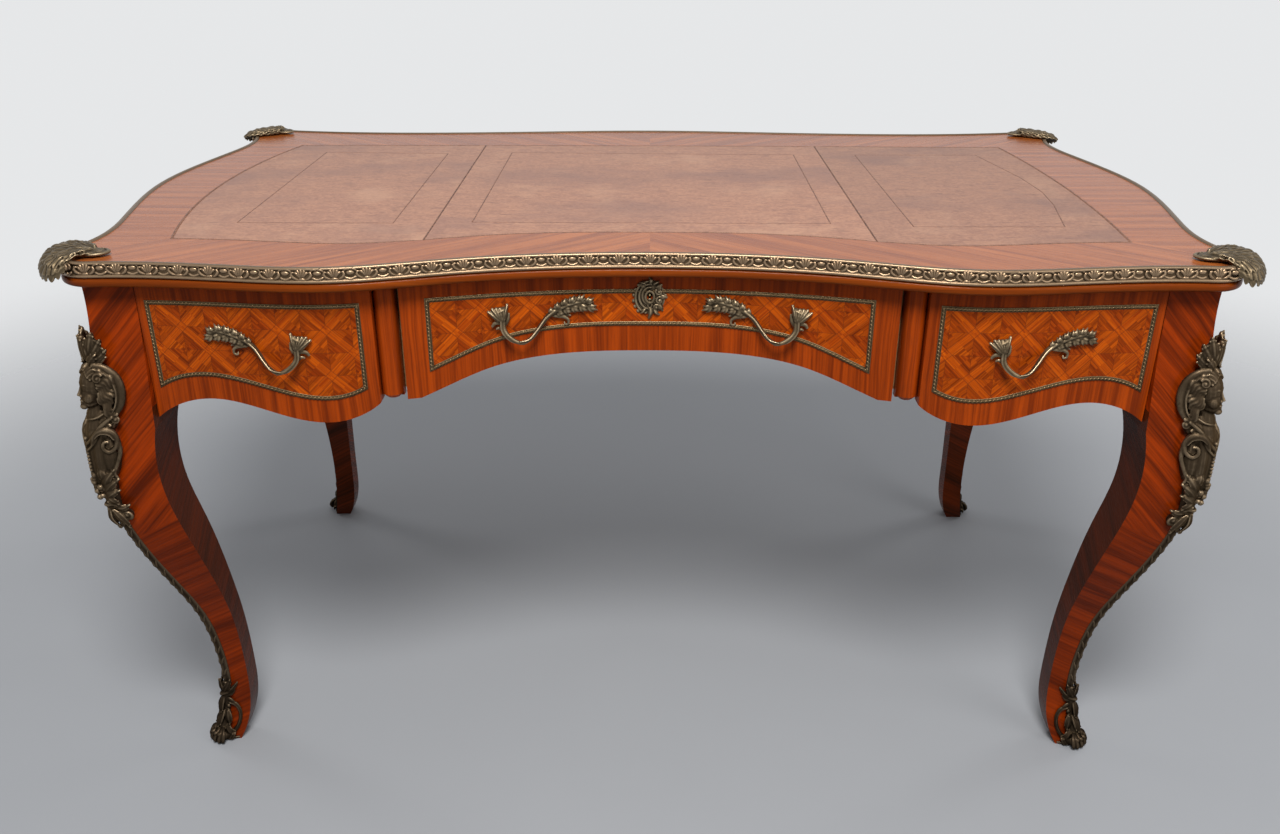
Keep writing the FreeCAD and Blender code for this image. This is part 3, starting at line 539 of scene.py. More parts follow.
def makePatina():
    look = patinaLook
    inputs = [("Spot", "Vector", None), ("Proud", "Float", 0.5), ("Hollow", "Color", None),
              ("Body", "Color", None), ("Rubbed", "Color", None), ("Rub", "Float", 0.5)]
    group, given, out = shaderGroup("patina", inputs, finishSockets)
    cloud = noise(group, given["Spot"], look["cloud"], 4.0, 0.6)
    fine = noise(group, given["Spot"], look["fine"], 3.0, 0.6)
    proud = timesPlus(group, minus(group, cloud, 0.5), look["mottle"], given["Proud"])
    deep = ramp(group, proud, *look["hollowEdge"])
    raised = times(group, ramp(group, proud, *look["raisedEdge"]), given["Rub"])
    body = mixed(group, deep, given["Hollow"], given["Body"])
    colour = mixed(group, raised, body, given["Rubbed"])
    specks = times(group, ramp(group, fine, *look["speckEdge"]), look["speckShare"])
    group.links.new(mixed(group, specks, colour, look["speck"]), out["Colour"])
    dull = timesPlus(group, cloud, look["uneven"], look["roughness"])
    group.links.new(timesPlus(group, raised, look["rubbedGloss"], dull), out["Roughness"])
    group.links.new(fine, out["Height"])
    return group


patina = makePatina()


def bronzeMaterial(name, body, rubbed, rub, dustAndShadeShare=0.0, hollow=(0.026, 0.018, 0.010, 1), rim=(1, 1, 1, 1)):
    look = patinaLook
    material, tree, shader = newMaterial(name, Metallic=look["metal"], Specular_IOR_Level=0.3,
                                         Specular_Tint=rim)
    geometry, spot = put(tree, "ShaderNodeNewGeometry").outputs, objectSpot(tree)
    metal = useGroup(tree, patina, Spot=spot, Proud=geometry["Pointiness"], Hollow=hollow, Body=body,
                     Rubbed=rubbed, Rub=rub)
    colour = metal["Colour"]
    if dustAndShadeShare:  # dust and polish left on what faces up or towards the wood; on the faces that look in towards the wood the dark colour is also painted shade on the moulding's inner wall
        x, y, _ = splitXYZ(tree, spot)
        nx, ny, nz = splitXYZ(tree, geometry["Normal"])
        inward = timesPlus(tree, x, nx, times(tree, y, ny))
        dull = maths(tree, "MAXIMUM", ramp(tree, nz, *look["dustUp"]),
                     ramp(tree, inward, *look["dustAndShadeInward"]))
        dull = times(tree, dull, dustAndShadeShare)
        # dark dust colour, which on the inward faces also stands for painted shade
        colour = mixed(tree, dull, colour, look["dustAndShadeColour"])
        tree.links.new(timesPlus(tree, dull, look["dustAndShadeMetal"], look["metal"]), shader.inputs["Metallic"])
    dress(tree, shader, colour, metal["Roughness"], metal["Height"], look["bump"], look["bumpDepth"])
    return material


agedBronze = bronzeMaterial("agedBronze", (0.110, 0.080, 0.046, 1), (0.46, 0.36, 0.23, 1), 0.8)
edgeBronze = bronzeMaterial("edgeBronze", (0.125, 0.080, 0.044, 1), (0.36, 0.25, 0.155, 1), 0.7, 0.7,
                            (0.060, 0.040, 0.022, 1))
cornerBronze = bronzeMaterial("cornerBronze", (0.100, 0.074, 0.043, 1), (0.40, 0.305, 0.19, 1), 0.75)
legBronze = bronzeMaterial("legBronze", (0.054, 0.037, 0.022, 1), (0.33, 0.245, 0.155, 1), 0.75,
                           rim=(0.55, 0.44, 0.33, 1))
shoeBronze = bronzeMaterial("shoeBronze", (0.028, 0.019, 0.012, 1), (0.19, 0.14, 0.09, 1), 0.5,
                            rim=(0.20, 0.15, 0.10, 1))
trimBronze = bronzeMaterial("trimBronze", (0.064, 0.041, 0.020, 1), (0.26, 0.18, 0.095, 1), 0.6,
                            rim=(0.5, 0.38, 0.25, 1))
lockBrass = bronzeMaterial("lockBrass", (0.42, 0.31, 0.13, 1), (0.75, 0.60, 0.30, 1), 0.6)
screwSteel = bronzeMaterial("screwSteel", (0.30, 0.29, 0.27, 1), (0.55, 0.54, 0.52, 1), 0.6)
print("materials:", len(bpy.data.materials))

# the frame's own solids that keep their shape get the finish that their slot names
finishes = {"leg_veneer": legVeneer, "frieze_veneer": crossband, "border_veneer": borderVeneer,
            "lip_wood": lipWood, "inner_oak": innerOak, "aged_bronze": agedBronze, "lock_brass": lockBrass,
            "screw_steel": screwSteel}
for row in frame["record"]["subparts"]:
    name = row["node"]
    cad = nodes[name]
    if name.startswith("leather_"):
        finish = leathers[name.removeprefix("leather_")]
    elif name.startswith("pilaster"):
        finish = crossband
    elif name.startswith("drawer_") and name.endswith("_front"):
        finish = frontVeneer
    else:
        finish = finishes[row["material_slot"]]
    cad.data.materials.clear()
    cad.data.materials.append(finish)
print("finishes on the solids")


# clay: balls and tapered ropes that are pressed together into one casting
class Clay:
    quickCoarser, smoothing = 2.2, 2

    def __init__(self, place=None):
        self.points, self.faces, self.place = [], [], place

    def add(self, points, faces):
        base = len(self.points)
        if self.place:
            points = [self.place(*p) for p in points]
        self.points += [tuple(float(c) for c in p) for p in points]
        self.faces += [tuple(base + i for i in f) for f in faces]

    def ball(self, centre, radii, sides=12, rows=8):
        radii = np.broadcast_to(np.array(radii, float), 3)
        points = []
        for r in range(1, rows):
            tilt = math.pi * r / rows
            for c in range(sides):
                turn = 2 * math.pi * c / sides
                points.append((math.sin(tilt) * math.cos(turn), math.sin(tilt) * math.sin(turn),
                               math.cos(tilt)))
        count = len(points)
        points += [(0, 0, 1), (0, 0, -1)]
        faces = gridFaces(rows - 1, sides)
        faces = [tuple(reversed(f)) for f in faces]
        faces += [(count, c, (c + 1) % sides) for c in range(sides)]
        low = count - sides
        faces += [(count + 1, low + (c + 1) % sides, low + c) for c in range(sides)]
        self.add(np.array(points) * radii + np.array(centre), faces)

    def rope(self, line, radii, flat=1.0, facing=(0, 0, 1), sides=9, count=16, soft=True):
        path = softLine(line, count) if soft else evenLine(line, count)
        span = np.linspace(0, 1, count)
        radius = np.interp(span, np.linspace(0, 1, len(radii)), radii)
        along = unit(np.gradient(path, axis=0))
        facing = np.broadcast_to(np.array(facing, float), path.shape)
        side = unit(np.cross(along, facing) + 1e-7)
        rise = unit(np.cross(side, along))
        turn = np.linspace(0, 2 * math.pi, sides, endpoint=False)
        wide, high = np.cos(turn)[None, :, None], np.sin(turn)[None, :, None]
        ring = path[:, None] + radius[:, None, None] * (wide * side[:, None] + flat * high * rise[:, None])
        points = list(ring.reshape(-1, 3))
        faces = [tuple(reversed(f)) for f in gridFaces(count, sides)]
        first, last = len(points), len(points) + 1
        points += [path[0] - along[0] * radius[0] * 0.6, path[-1] + along[-1] * radius[-1] * 0.6]
        faces += [(first, c, (c + 1) % sides) for c in range(sides)]
        base = (count - 1) * sides
        faces += [(last, base + (c + 1) % sides, base + c) for c in range(sides)]
        self.add(points, faces)

    def flame(self, spine, wide, facing, roll):
        # fluted leaf: a blade with five ridges that part at its end, and a rolled tip
        steps = 14
        path = softLine(spine, steps)
        along = unit(np.gradient(path, axis=0))
        facing = unit(facing)
        side = unit(np.cross(along, facing))
        swell = np.sin(np.pi * np.linspace(0.14, 0.90, steps))[:, None]
        self.rope(path, [wide * 0.5, wide * 0.95, wide * 0.9, wide * 0.4], 0.4, facing, 10, 20)
        for k in (-2, -1, 0, 1, 2):
            stop = steps - 2 * abs(k)
            line = (path + side * k * wide * 0.46 * swell + facing * (2.4 - abs(k)) * wide * 0.16)[:stop]
            splay = along[stop - 1] + 0.5 * np.sign(k) * side[stop - 1]
            tip = line[-1] + splay * wide * 0.4 + facing * wide * 0.15
            self.rope(np.vstack([line, tip]), [wide * 0.2, wide * 0.29, wide * 0.30, wide * 0.18], 0.9,
                      facing, 8, 22)
        tip, lead = path[-1], along[-1]
        self.rope([tip - lead * wide, tip + facing * roll * 0.5, tip + facing * roll - lead * roll * 0.2,
                   tip + facing * roll * 0.9 - lead * roll],
                  [wide * 0.34, wide * 0.42, wide * 0.34, wide * 0.2], 1.0, side[-1], 8, 14)

    def curl(self, centre, right, up, radius, turns, thick, start):
        # volute that winds in to its eye
        right, up = unit(right), unit(up)
        line = []
        for t in np.linspace(0, 1, 26):
            angle = start + 2 * math.pi * turns * t
            size = radius * (1 - 0.86 * t)
            line.append(np.array(centre) + size * (math.cos(angle) * right + math.sin(angle) * up))
        self.rope(line, [thick, thick * 0.9, thick * 0.6], facing=np.cross(right, up), count=34)
        self.ball(centre, thick * 1.25)

    def raw(self, name):
        return sealed(meshPiece(name, self.points, self.faces))

    def fire(self, name, voxel):
        piece = meshPiece(name, self.points, self.faces)
        remesh = piece.modifiers.new("remesh", "REMESH")
        remesh.mode = "VOXEL"
        remesh.voxel_size = voxel * 1.0
        remesh.use_smooth_shade = True
        soften = piece.modifiers.new("soften", "SMOOTH")
        soften.factor = 0.5
        soften.iterations = self.smoothing
        old = piece.data
        piece.data = oneShell(plainMesh(piece))
        bpy.data.meshes.remove(old)
        piece.data.name = name
        return piece


def inMm(x, y, z):
    return (x * mm, y * mm, z * mm)


def oneShell(mesh):  # drops the crumbs that the remesh leaves beside a casting
    ends = np.zeros(2 * len(mesh.edges), np.int32)
    mesh.edges.foreach_get("vertices", ends)
    a, b, label = ends[::2], ends[1::2], np.arange(len(mesh.vertices))
    while True:
        low, lowest = np.minimum(label[a], label[b]), label.copy()
        np.minimum.at(lowest, a, low)
        np.minimum.at(lowest, b, low)
        lowest = lowest[lowest]
        if np.array_equal(lowest, label):
            break
        label = lowest
    crumbs = np.flatnonzero(label != np.bincount(label).argmax())
    if len(crumbs):
        shell = bmesh.new()
        shell.from_mesh(mesh)
        shell.verts.ensure_lookup_table()
        bmesh.ops.delete(shell, geom=[shell.verts[i] for i in crumbs], context="VERTS")
        shell.to_mesh(mesh)
        shell.free()
    return mesh


def sealed(piece):  # turns the faces outward if the closed mesh came out inside out
    mesh = piece.data
    points = np.array([v.co for v in mesh.vertices])
    points = points - points.mean(axis=0)
    volume = 0.0
    for p in mesh.polygons:
        a, rest = points[p.vertices[0]], [points[i] for i in p.vertices[1:]]
        for b, c in zip(rest, rest[1:]):
            volume += np.dot(a, np.cross(b, c))
    if volume < 0:
        mesh.flip_normals()
    return piece


mitreLimit = 0.4


def sweep(name, path, facing, profile, closed=False):
    path, facing = np.array(path, float), np.broadcast_to(unit(facing), np.shape(path))
    if closed:
        before, after = path - np.roll(path, 1, axis=0), np.roll(path, -1, axis=0) - path
    else:
        step = np.diff(path, axis=0)
        before, after = np.vstack([step[:1], step]), np.vstack([step, step[-1:]])
    before, after = unit(before), unit(after)
    along = unit(before + after)
    stretch = 1 / np.maximum(np.sum(along * after, axis=1), mitreLimit)
    side = unit(np.cross(along, facing)) * stretch[:, None]
    points = [path[i] + side[i] * a + facing[i] * b for i in range(len(path)) for a, b in profile]
    n, m = len(path), len(profile)
    faces = gridFaces(n, m, closed)
    if not closed:
        faces += [tuple(range(m)), tuple(range((n - 1) * m, n * m))[::-1]]
    return sealed(meshPiece(name, points, faces))


# one node tree that lays a unit along a path, upright and facing as the path says
def makeUnitsAlongPath():
    group = bpy.data.node_groups.new("unitsAlongPath", "GeometryNodeTree")
    for label, kind in (("Geometry", "Geometry"), ("Spacing", "Float"), ("Unit", "Object"),
                        ("Material", "Material")):
        group.interface.new_socket(label, in_out="INPUT", socket_type="NodeSocket" + kind)
    group.interface.new_socket("Geometry", in_out="OUTPUT", socket_type="NodeSocketGeometry")
    given = group.nodes.new("NodeGroupInput").outputs
    out = group.nodes.new("NodeGroupOutput").inputs
    curve = put(group, "GeometryNodeMeshToCurve", Mesh=given["Geometry"]).outputs[0]
    even = put(group, "GeometryNodeResampleCurve", {"mode": "LENGTH"}, Curve=curve,
               Length=given["Spacing"]).outputs[0]
    facing = put(group, "GeometryNodeInputNamedAttribute", {"data_type": "FLOAT_VECTOR"},
                 Name="facing").outputs[0]
    upward = put(group, "GeometryNodeInputNamedAttribute", {"data_type": "FLOAT_VECTOR"},
                 Name="upward").outputs[0]
    turned = put(group, "FunctionNodeAlignRotationToVector", {"axis": "Z"}, Vector=facing).outputs[0]
    upright = put(group, "FunctionNodeAlignRotationToVector", {"axis": "Y", "pivot_axis": "Z"},
                  Rotation=turned, Vector=upward).outputs[0]
    shape = put(group, "GeometryNodeObjectInfo", Object=given["Unit"]).outputs["Geometry"]
    laid = put(group, "GeometryNodeInstanceOnPoints", Points=even, Instance=shape,
               Rotation=upright).outputs[0]
    real = put(group, "GeometryNodeRealizeInstances", Geometry=laid).outputs[0]
    done = put(group, "GeometryNodeSetMaterial", Geometry=real, Material=given["Material"]).outputs[0]
    group.links.new(done, out["Geometry"])
    return group


unitsAlongPath = makeUnitsAlongPath()


def layUnits(name, lines, spacing, unitShape, material):
    points, edges, facing, upward = [], [], [], []
    for path, faces, ups, closed in lines:
        base, n = len(points), len(path)
        points += [tuple(p) for p in path]
        edges += [(base + i, base + i + 1) for i in range(n - 1)]
        edges += [(base + n - 1, base)] if closed else []
        facing += [tuple(f) for f in np.broadcast_to(faces, (n, 3))]
        upward += [tuple(u) for u in np.broadcast_to(ups, (n, 3))]
    mesh = bpy.data.meshes.new(name + "Path")
    mesh.from_pydata(points, edges, [])
    for label, vectors in (("facing", facing), ("upward", upward)):
        attribute = mesh.attributes.new(label, "FLOAT_VECTOR", "POINT")
        attribute.data.foreach_set("vector", np.array(vectors, float).ravel())
    carrier = bpy.data.objects.new(name, mesh)
    scene.collection.objects.link(carrier)
    modifier = carrier.modifiers.new("units", "NODES")
    modifier.node_group = unitsAlongPath
    values = {"Spacing": spacing, "Unit": unitShape, "Material": material}
    for socket in unitsAlongPath.interface.items_tree:
        if socket.in_out == "INPUT" and socket.name in values:
            modifier[socket.identifier] = values[socket.name]
    laid = plainMesh(carrier)
    carrier.data = laid
    bpy.data.meshes.remove(mesh)
    for label in ("facing", "upward"):
        if label in laid.attributes:
            laid.attributes.remove(laid.attributes[label])
    return carrier


def joined(name, *pieces):  # several meshes as one piece
    points, faces = [], []
    for piece in pieces:
        base = len(points)
        points += [v.co.copy() for v in piece.data.vertices]
        faces += [tuple(base + i for i in p.vertices) for p in piece.data.polygons]
        bpy.data.objects.remove(piece)
    return meshPiece(name, points, faces)


def dropShape(shape):
    bpy.data.objects.remove(shape)


# edges of the faces of a solid that look one way, as closed loops
loopLook = {"facing": 0.5, "step": 0.006, "gap": 0.003, "outerStep": 0.003, "innerStep": 0.0005,
            "middleGap": 0.0008, "sharpest": 0.6, "frameOut": 0.3, "frameSize": 0.05}


def faceLoops(name, outDir):
    mesh = nodes[name].data
    places, number = [], {}
    follow = {}
    for p in mesh.polygons:
        if p.normal.dot(Vector(outDir)) < loopLook["facing"]:
            continue
        ring = []
        for i in p.vertices:
            key = tuple(round(c, 5) for c in mesh.vertices[i].co)
            if key not in number:
                number[key] = len(places)
                places.append(key)
            ring.append(number[key])
        for a, b in zip(ring, ring[1:] + ring[:1]):
            if a in follow.get(b, ()):
                follow[b].discard(a)
            else:
                follow.setdefault(a, set()).add(b)
    loops = []
    while any(follow.values()):
        start = next(a for a, to in follow.items() if to)
        loop, here = [], start
        while follow.get(here):
            loop.append(places[here])
            here = follow[here].pop()
            if here == start:
                break
        if len(loop) > 3:
            loops.append(np.array(loop))
    return sorted(loops, key=lambda l: -np.linalg.norm(np.ptp(l, axis=0)))


def frameLoops(name, outDir):  # only the large loops on that side of the desk
    def isFrame(loop):
        far, size = np.mean(loop, axis=0) @ np.array(outDir), np.sort(np.ptp(loop, axis=0))[1]
        return far > loopLook["frameOut"] and size > loopLook["frameSize"]

    return [l for l in faceLoops(name, outDir) if isFrame(l)]


def dense(loop, step):  # closed loop with points no further apart than the step, corners kept
    points = []
    for a, b in zip(loop, np.roll(loop, -1, axis=0)):
        n = max(1, int(np.linalg.norm(b - a) / step))
        points += [a + (b - a) * k / n for k in range(n)]
    return np.array(points)


def thinned(points, gap):
    kept = [points[0]]
    for p in points[1:]:
        if np.linalg.norm(p - kept[-1]) > gap:
            kept.append(p)
    return np.array(kept)


def turnOf(loop):  # 1 where the loop runs anticlockwise in plan, -1 where it runs clockwise
    after = np.roll(loop, -1, axis=0)
    return 1 if np.sum(loop[:, 0] * after[:, 1] - after[:, 0] * loop[:, 1]) > 0 else -1


def insetLoop(loop, distance):  # loop moved towards its inside in plan
    loop = thinned(dense(loop, loopLook["step"]), loopLook["gap"])
    before, after = unit(loop - np.roll(loop, 1, axis=0)), unit(np.roll(loop, -1, axis=0) - loop)
    along = unit(before + after)
    stretch = 1 / np.maximum(np.sum(along * after, axis=1), loopLook["sharpest"])
    inward = np.cross((0, 0, 1), along) * turnOf(loop)
    return loop + inward * stretch[:, None] * distance


def middleLoop(outer, inner):
    outer, inner = dense(outer, loopLook["outerStep"]), dense(inner, loopLook["innerStep"])
    middle = [(p + inner[np.argmin(np.sum((inner - p) ** 2, axis=1))]) / 2 for p in outer]
    return thinned(np.array(middle), loopLook["middleGap"])


def pairLoops(loops):  # outer and inner loop of each frame
    pairs, rest = [], list(loops)
    while len(rest) > 1:
        outer = rest.pop(0)
        centre = (outer.max(axis=0) + outer.min(axis=0)) / 2
        inner = min(rest, key=lambda l: np.linalg.norm((l.max(axis=0) + l.min(axis=0)) / 2 - centre))
        rest = [l for l in rest if l is not inner]
        pairs.append((outer, inner))
    return pairs


class Face:  # a flat or bowed upright face of the desk, seen from outside
    far, least, step = 1.1, 0.3, 0.004
    tries = ((0, 0.008, -0.008), (0.015, -0.015), (0.035, -0.035))  # up and down, past holes and edges

    def __init__(self, outDir, *names):
        self.out = Vector(outDir)
        self.tree = sightTree(*names)
        self.lateral = Vector((0, 0, 1)).cross(self.out)

    def spot(self, p):
        p = Vector(p)
        start = p + self.out * (self.far - p.dot(self.out))
        for steps in self.tries:
            found = [hit(self.tree, start + Vector((0, 0, step)), -self.out) for step in steps]
            found = [f for f in found if f is not None and f.dot(self.out) > self.least]
            if found:
                best = max(found, key=lambda f: f.dot(self.out))
                return Vector((best.x, best.y, p.z))
        return None

    def normal(self, p):
        aside = self.lateral * self.step
        a, b = self.spot(Vector(p) - aside), self.spot(Vector(p) + aside)
        if a is None or b is None:
            return np.array(self.out)
        normal = (b - a).cross(Vector((0, 0, 1))).normalized()
        return np.array(normal if normal.dot(self.out) > 0 else -normal)

    def at(self, x, z, lift=0.0):
        p = Vector((x, 0, z))
        return np.array(self.spot(p)) + self.normal(p) * lift


deskFaces = {"left": Face((0, -1, 0), "drawer_left_front"),
             "centre": Face((0, -1, 0), "drawer_centre_front"),
             "right": Face((0, -1, 0), "drawer_right_front"), "back": Face((0, 1, 0), "back_apron"),
             "endRight": Face((1, 0, 0), "end_panel_right"), "endLeft": Face((-1, 0, 0), "end_panel_left")}
middleShift = 0.00283  # the legs are mirrored about a line just behind the middle of the box
middleY = (cadBox[0][1] + cadBox[1][1]) / 2 + middleShift
print("tools ready")

# edge of the top: a bronze moulding with a shell and a scrolled oval in turn, pinned on
edgeLook = {"corner": (0.7105, 0.4105), "step": 0.004, "gap": 0.002, "lipSetback": 0.003, "pitch": 0.0372,
            "pinPitch": 0.145, "height": 0.770, "stations": 200, "unitDepth": 1.5, "pinDepth": 1.6,
            "pinRise": 2.2, "profile": [(-6.0, 9.6), (-2.6, 10.0), (-0.8, 9.5), (0.2, 8.4), (0.1, 7.2),
                                        (-0.9, 6.4), (-1.4, 5.8), (-1.6, 1.0), (-1.5, -2.5), (-1.3, -5.0),
                                        (-0.4, -5.9), (0.7, -6.8), (0.7, -8.4), (-0.2, -9.7), (-6.0, -9.9)]}


def edgeUnit():
    clay = Clay(inMm)
    for k in (-2, -1, 0, 1, 2):
        a = 0.50 * k
        clay.rope([(0.9 * k, -3.6, 0.0), (4.4 * math.sin(a), 0.8, 1.0),
                   (8.6 * math.sin(a), 7.6 * math.cos(a), 0.4)], [1.0, 1.7, 2.1], 0.8, sides=5, count=4)
    clay.ball((0, -4.8, -0.6), (5.0, 2.6, 2.2), 8, 5)
    for s in (-1, 1):
        clay.rope([(s * 4.2, -5.0, -0.2), (s * 8.4, -3.4, 0.6), (s * 11.8, 0.6, 0.8), (s * 10.6, 4.4, 0.5),
                   (s * 7.8, 3.4, 0.1)], [1.3, 2.0, 2.1, 1.8, 1.1], 0.8, sides=5, count=6)
        clay.rope([(18.6 + s * 7.6, 4.2, -0.3), (18.6 + s * 4.8, 7.6, 0.3), (18.6 + s * 0.8, 7.0, 0.3)],
                  [1.4, 1.9, 1.3], 0.8, sides=5, count=4)
    clay.ball((18.6, 2.6, -0.5), (5.8, 3.4, 2.4), 8, 5)
    clay.rope([(11.0, -2.0, -0.3), (18.6, -5.2, 0.4), (26.2, -2.0, -0.3)], [1.3, 2.1, 1.3], 0.8, sides=5,
              count=6)
    return clay.raw("edgeUnit")


def pinUnit():
    clay = Clay()
    clay.ball((0, 0, 0.4 * mm), (1.9 * mm, 1.9 * mm, 1.3 * mm), 7, 5)
    return clay.raw("pinUnit")


def topOutline(away):  # closed outline of the top, moved outwards from the lip
    board = faceLoops("top_board", (0, 0, -1))[0]
    return insetLoop(thinned(dense(board, edgeLook["step"]), edgeLook["gap"]), -away)


def outwardOf(line):
    along = unit(np.gradient(line, axis=0))
    side = unit(np.cross(along, (0, 0, 1)))
    return side if np.sum(side * (line - np.array((0, middleY, line[0][2])))) > 0 else -side


def cornerCut(outline):  # the four runs of the outline between the corners
    wide, deep = edgeLook["corner"]
    marks = [(sx * wide, middleY + sy * deep) for sx, sy in ((-1, -1), (1, -1), (1, 1), (-1, 1))]
    found = [int(np.argmin(np.sum((outline[:, :2] - m) ** 2, axis=1))) for m in marks]
    runs = []
    for a, b in zip(found, found[1:] + found[:1]):
        forth = np.concatenate([outline[a:], outline[:b + 1]]) if b < a else outline[a:b + 1]
        back = np.concatenate([outline[b:], outline[:a + 1]]) if a < b else outline[b:a + 1]
        runs.append(forth if len(forth) < len(back) else back)
    return runs


def makeEdges():
    look = edgeLook
    front, right, back, left = cornerCut(topOutline(look["lipSetback"]))
    rows = {"edgeFront": ([front], "edge_brass_front"), "edgeBack": ([back], "edge_brass_back"),
            "edgeEnds": ([right, left], "edge_brass_ends")}
    shell, pin = edgeUnit(), pinUnit()
    for label, (runs, name) in rows.items():
        lines, pinLines, bodies = [], [], []
        for run in runs:
            line = evenLine(run, look["stations"])
            line[:, 2] = look["height"]
            out = outwardOf(line)
            bodies.append(sweep(label, line, out, [(b * mm, a * mm) for a, b in look["profile"]]))
            lines.append((line - out * look["unitDepth"] * mm, out, (0, 0, 1), False))
            pinLine = line - out * look["pinDepth"] * mm + np.array((0, 0, look["pinRise"] * mm))
            pinLines.append((pinLine, out, (0, 0, 1), False))
        units = layUnits(label + "Shells", lines, look["pitch"], shell, edgeBronze)
        pins = layUnits(label + "Pins", pinLines, look["pinPitch"], pin, edgeBronze)
        settle(joined(label, *bodies, units, pins), "carcass", "aged_bronze", edgeBronze, name)
    dropShape(shell)
    dropShape(pin)


makeEdges()
print("edge moulding")

# rounded wooden lip under the edge, all round the top
lipStep, lipGap = 0.006, 0.004
lipProfile = [(-5.0, 0.3), (0.6, 0.3), (2.0, 1.4), (2.9, 3.6), (3.0, 6.4), (2.5, 8.8), (1.4, 10.4),
              (0.2, 10.9), (0.0, 12.0), (-5.0, 12.0)]


def makeLip():
    outline = thinned(dense(faceLoops("top_board", (0, 0, -1))[0], lipStep), lipGap)
    sign = turnOf(outline)
    lip = sweep("lipMoulding", outline, (0, 0, 1), [(sign * a * mm, b * mm) for a, b in lipProfile], True)
    settle(lip, "carcass", "lip_wood", lipWood)


makeLip()
print("lip")

# frames of bronze bead on the drawers, the back and the ends, with a twisted bead along them
trimLook = {"pitch": 0.0050, "profile": [(-2.9, -0.4), (-2.9, 0.6), (-2.4, 1.0), (-1.9, 0.9), (-1.1, 1.7),
                                         (0.0, 2.1), (1.1, 1.7), (1.9, 0.9), (2.4, 1.0), (2.9, 0.6),
                                         (2.9, -0.4)]}
escutcheonLook = {"keyhole": 0.717, "voxel": 0.00055, "faceTop": 0.744, "sunk": 0.2, "arcStations": 20}
centreFrame = {"half": 0.277, "top": 0.7225, "halfWidth": 0.0035, "look": 0.70, "lift": 0.0015,
               "clear": 0.02, "stations": 160, "sideStations": 14}


def trimUnit():
    clay = Clay(inMm)
    clay.rope([(-1.7, -1.6, 0.9), (0, 0, 2.0), (1.7, 1.6, 0.9)], [0.7, 1.0, 0.7], sides=6, count=5)
    return clay.raw("trimUnit")


def archedLoop(name, face):  # middle line of the frame that the keyhole mount interrupts
    look = centreFrame
    tree, half, top = sightTree(name), look["half"], look["top"]
    wide = np.linspace(-half, half, look["stations"])
    low = []
    for x in wide:
        under = face.at(x, look["look"], look["lift"])
        edge = hit(tree, under * (1, 1, 0), (0, 0, 1))
        if edge is not None and edge.z < top - look["clear"]:
            low.append((x, 0, edge.z + look["halfWidth"]))
    sideZ = np.linspace(low[-1][2], top, look["sideStations"])[1:-1]
    sides = [(half, 0, z) for z in sideZ], [(-half, 0, z) for z in sideZ[::-1]]
    return np.array(low + sides[0] + [(x, 0, top) for x in wide[::-1]] + sides[1])


def trimRun(face, middle):
    normals = np.array([face.normal(p) for p in middle])
    seat = np.array([np.array(face.spot(p)) if face.spot(p) is not None else p for p in middle])
    return seat, normals


def makeTrim(label, body, name, runs):
    bead = trimUnit()
    bodies, lines = [], []
    for seat, normals in runs:
        bodies.append(sweep(label, seat, normals, [(a * mm, b * mm) for a, b in trimLook["profile"]], True))
        along = unit(np.roll(seat, -1, axis=0) - np.roll(seat, 1, axis=0))
        lines.append((seat, normals, unit(np.cross(normals, along)), True))
    units = layUnits(label + "Beads", lines, trimLook["pitch"], bead, agedBronze)
    settle(joined(label, *bodies, units), body, "aged_bronze", trimBronze, name)
    dropShape(bead)


# parquetry fields inside the frames: thin veneers laid on the board
fieldLook = {"margin": (0.008, 0.004), "cell": (0.016, 0.022), "proud": 0.0004, "sunk": 0.0006,
             "keyholeRadius": 0.0044, "holeSides": 24}


def makeField(label, body, face, seat, hole=None):
    flat = [(float(Vector(p).dot(face.lateral)), float(p[2])) for p in seat]
    look, lo, hi = fieldLook, np.min(flat, axis=0), np.max(flat, axis=0)
    low, high = look["margin"]
    across, upward = [np.arange(lo[k] + low, hi[k] - high, look["cell"][k]) for k in (0, 1)]
    grid = [(u, v) for u in across for v in upward]
    rim, bounds = len(flat), []
    if hole:  # round opening with its own rim
        grid = [p for p in grid if math.dist(p, hole[:2]) > 2 * hole[2]]
        sides = look["holeSides"]
        turns = np.linspace(0, 2 * math.pi, sides, endpoint=False)
        flat += [(hole[0] + hole[2] * math.cos(a), hole[1] + hole[2] * math.sin(a)) for a in turns]
        bounds = [(rim + i, rim + (i + 1) % sides) for i in range(sides)]
    bounds += [(i, (i + 1) % rim) for i in range(rim)]
    spots, _, tris, *_ = delaunay_2d_cdt([Vector(p) for p in flat + grid], bounds, [], 1, 1e-6)
    if hole:
        middles = [sum((spots[i] for i in t), Vector((0, 0))) / 3 for t in tris]
        tris = [t for t, m in zip(tris, middles) if (m - Vector(hole[:2])).length > hole[2]]
    front, back, count = [], [], len(spots)
    for p in spots:
        place = face.lateral * p.x + Vector((0, 0, p.y))
        on, normal = face.spot(place), face.normal(place)
        if on is None:
            nearest = np.argmin([(p.x - q[0]) ** 2 + (p.y - q[1]) ** 2 for q in flat])
            on, normal = Vector(seat[nearest]), np.array(face.out)
        front.append(np.array(on) + normal * look["proud"])
        back.append(np.array(on) - normal * look["sunk"])
    polygons = [tuple(t) for t in tris] + [tuple(count + i for i in reversed(t)) for t in tris]
    edges = dict.fromkeys((a, b) for t in tris for a, b in zip(t, list(t[1:]) + [t[0]]))
    polygons += [(b, a, count + a, count + b) for a, b in edges if (b, a) not in edges]
    panel = sealed(meshPiece(label, front + back, polygons, smooth=False))
    middle = (lo + hi) / 2
    layer = panel.data.uv_layers.new(name="veneer")
    for loop in panel.data.loops:
        p = spots[loop.vertex_index % count]
        layer.data[loop.index].uv = (p.x - middle[0], p.y - middle[1])
    settle(panel, body, "frieze_veneer", parquetry)


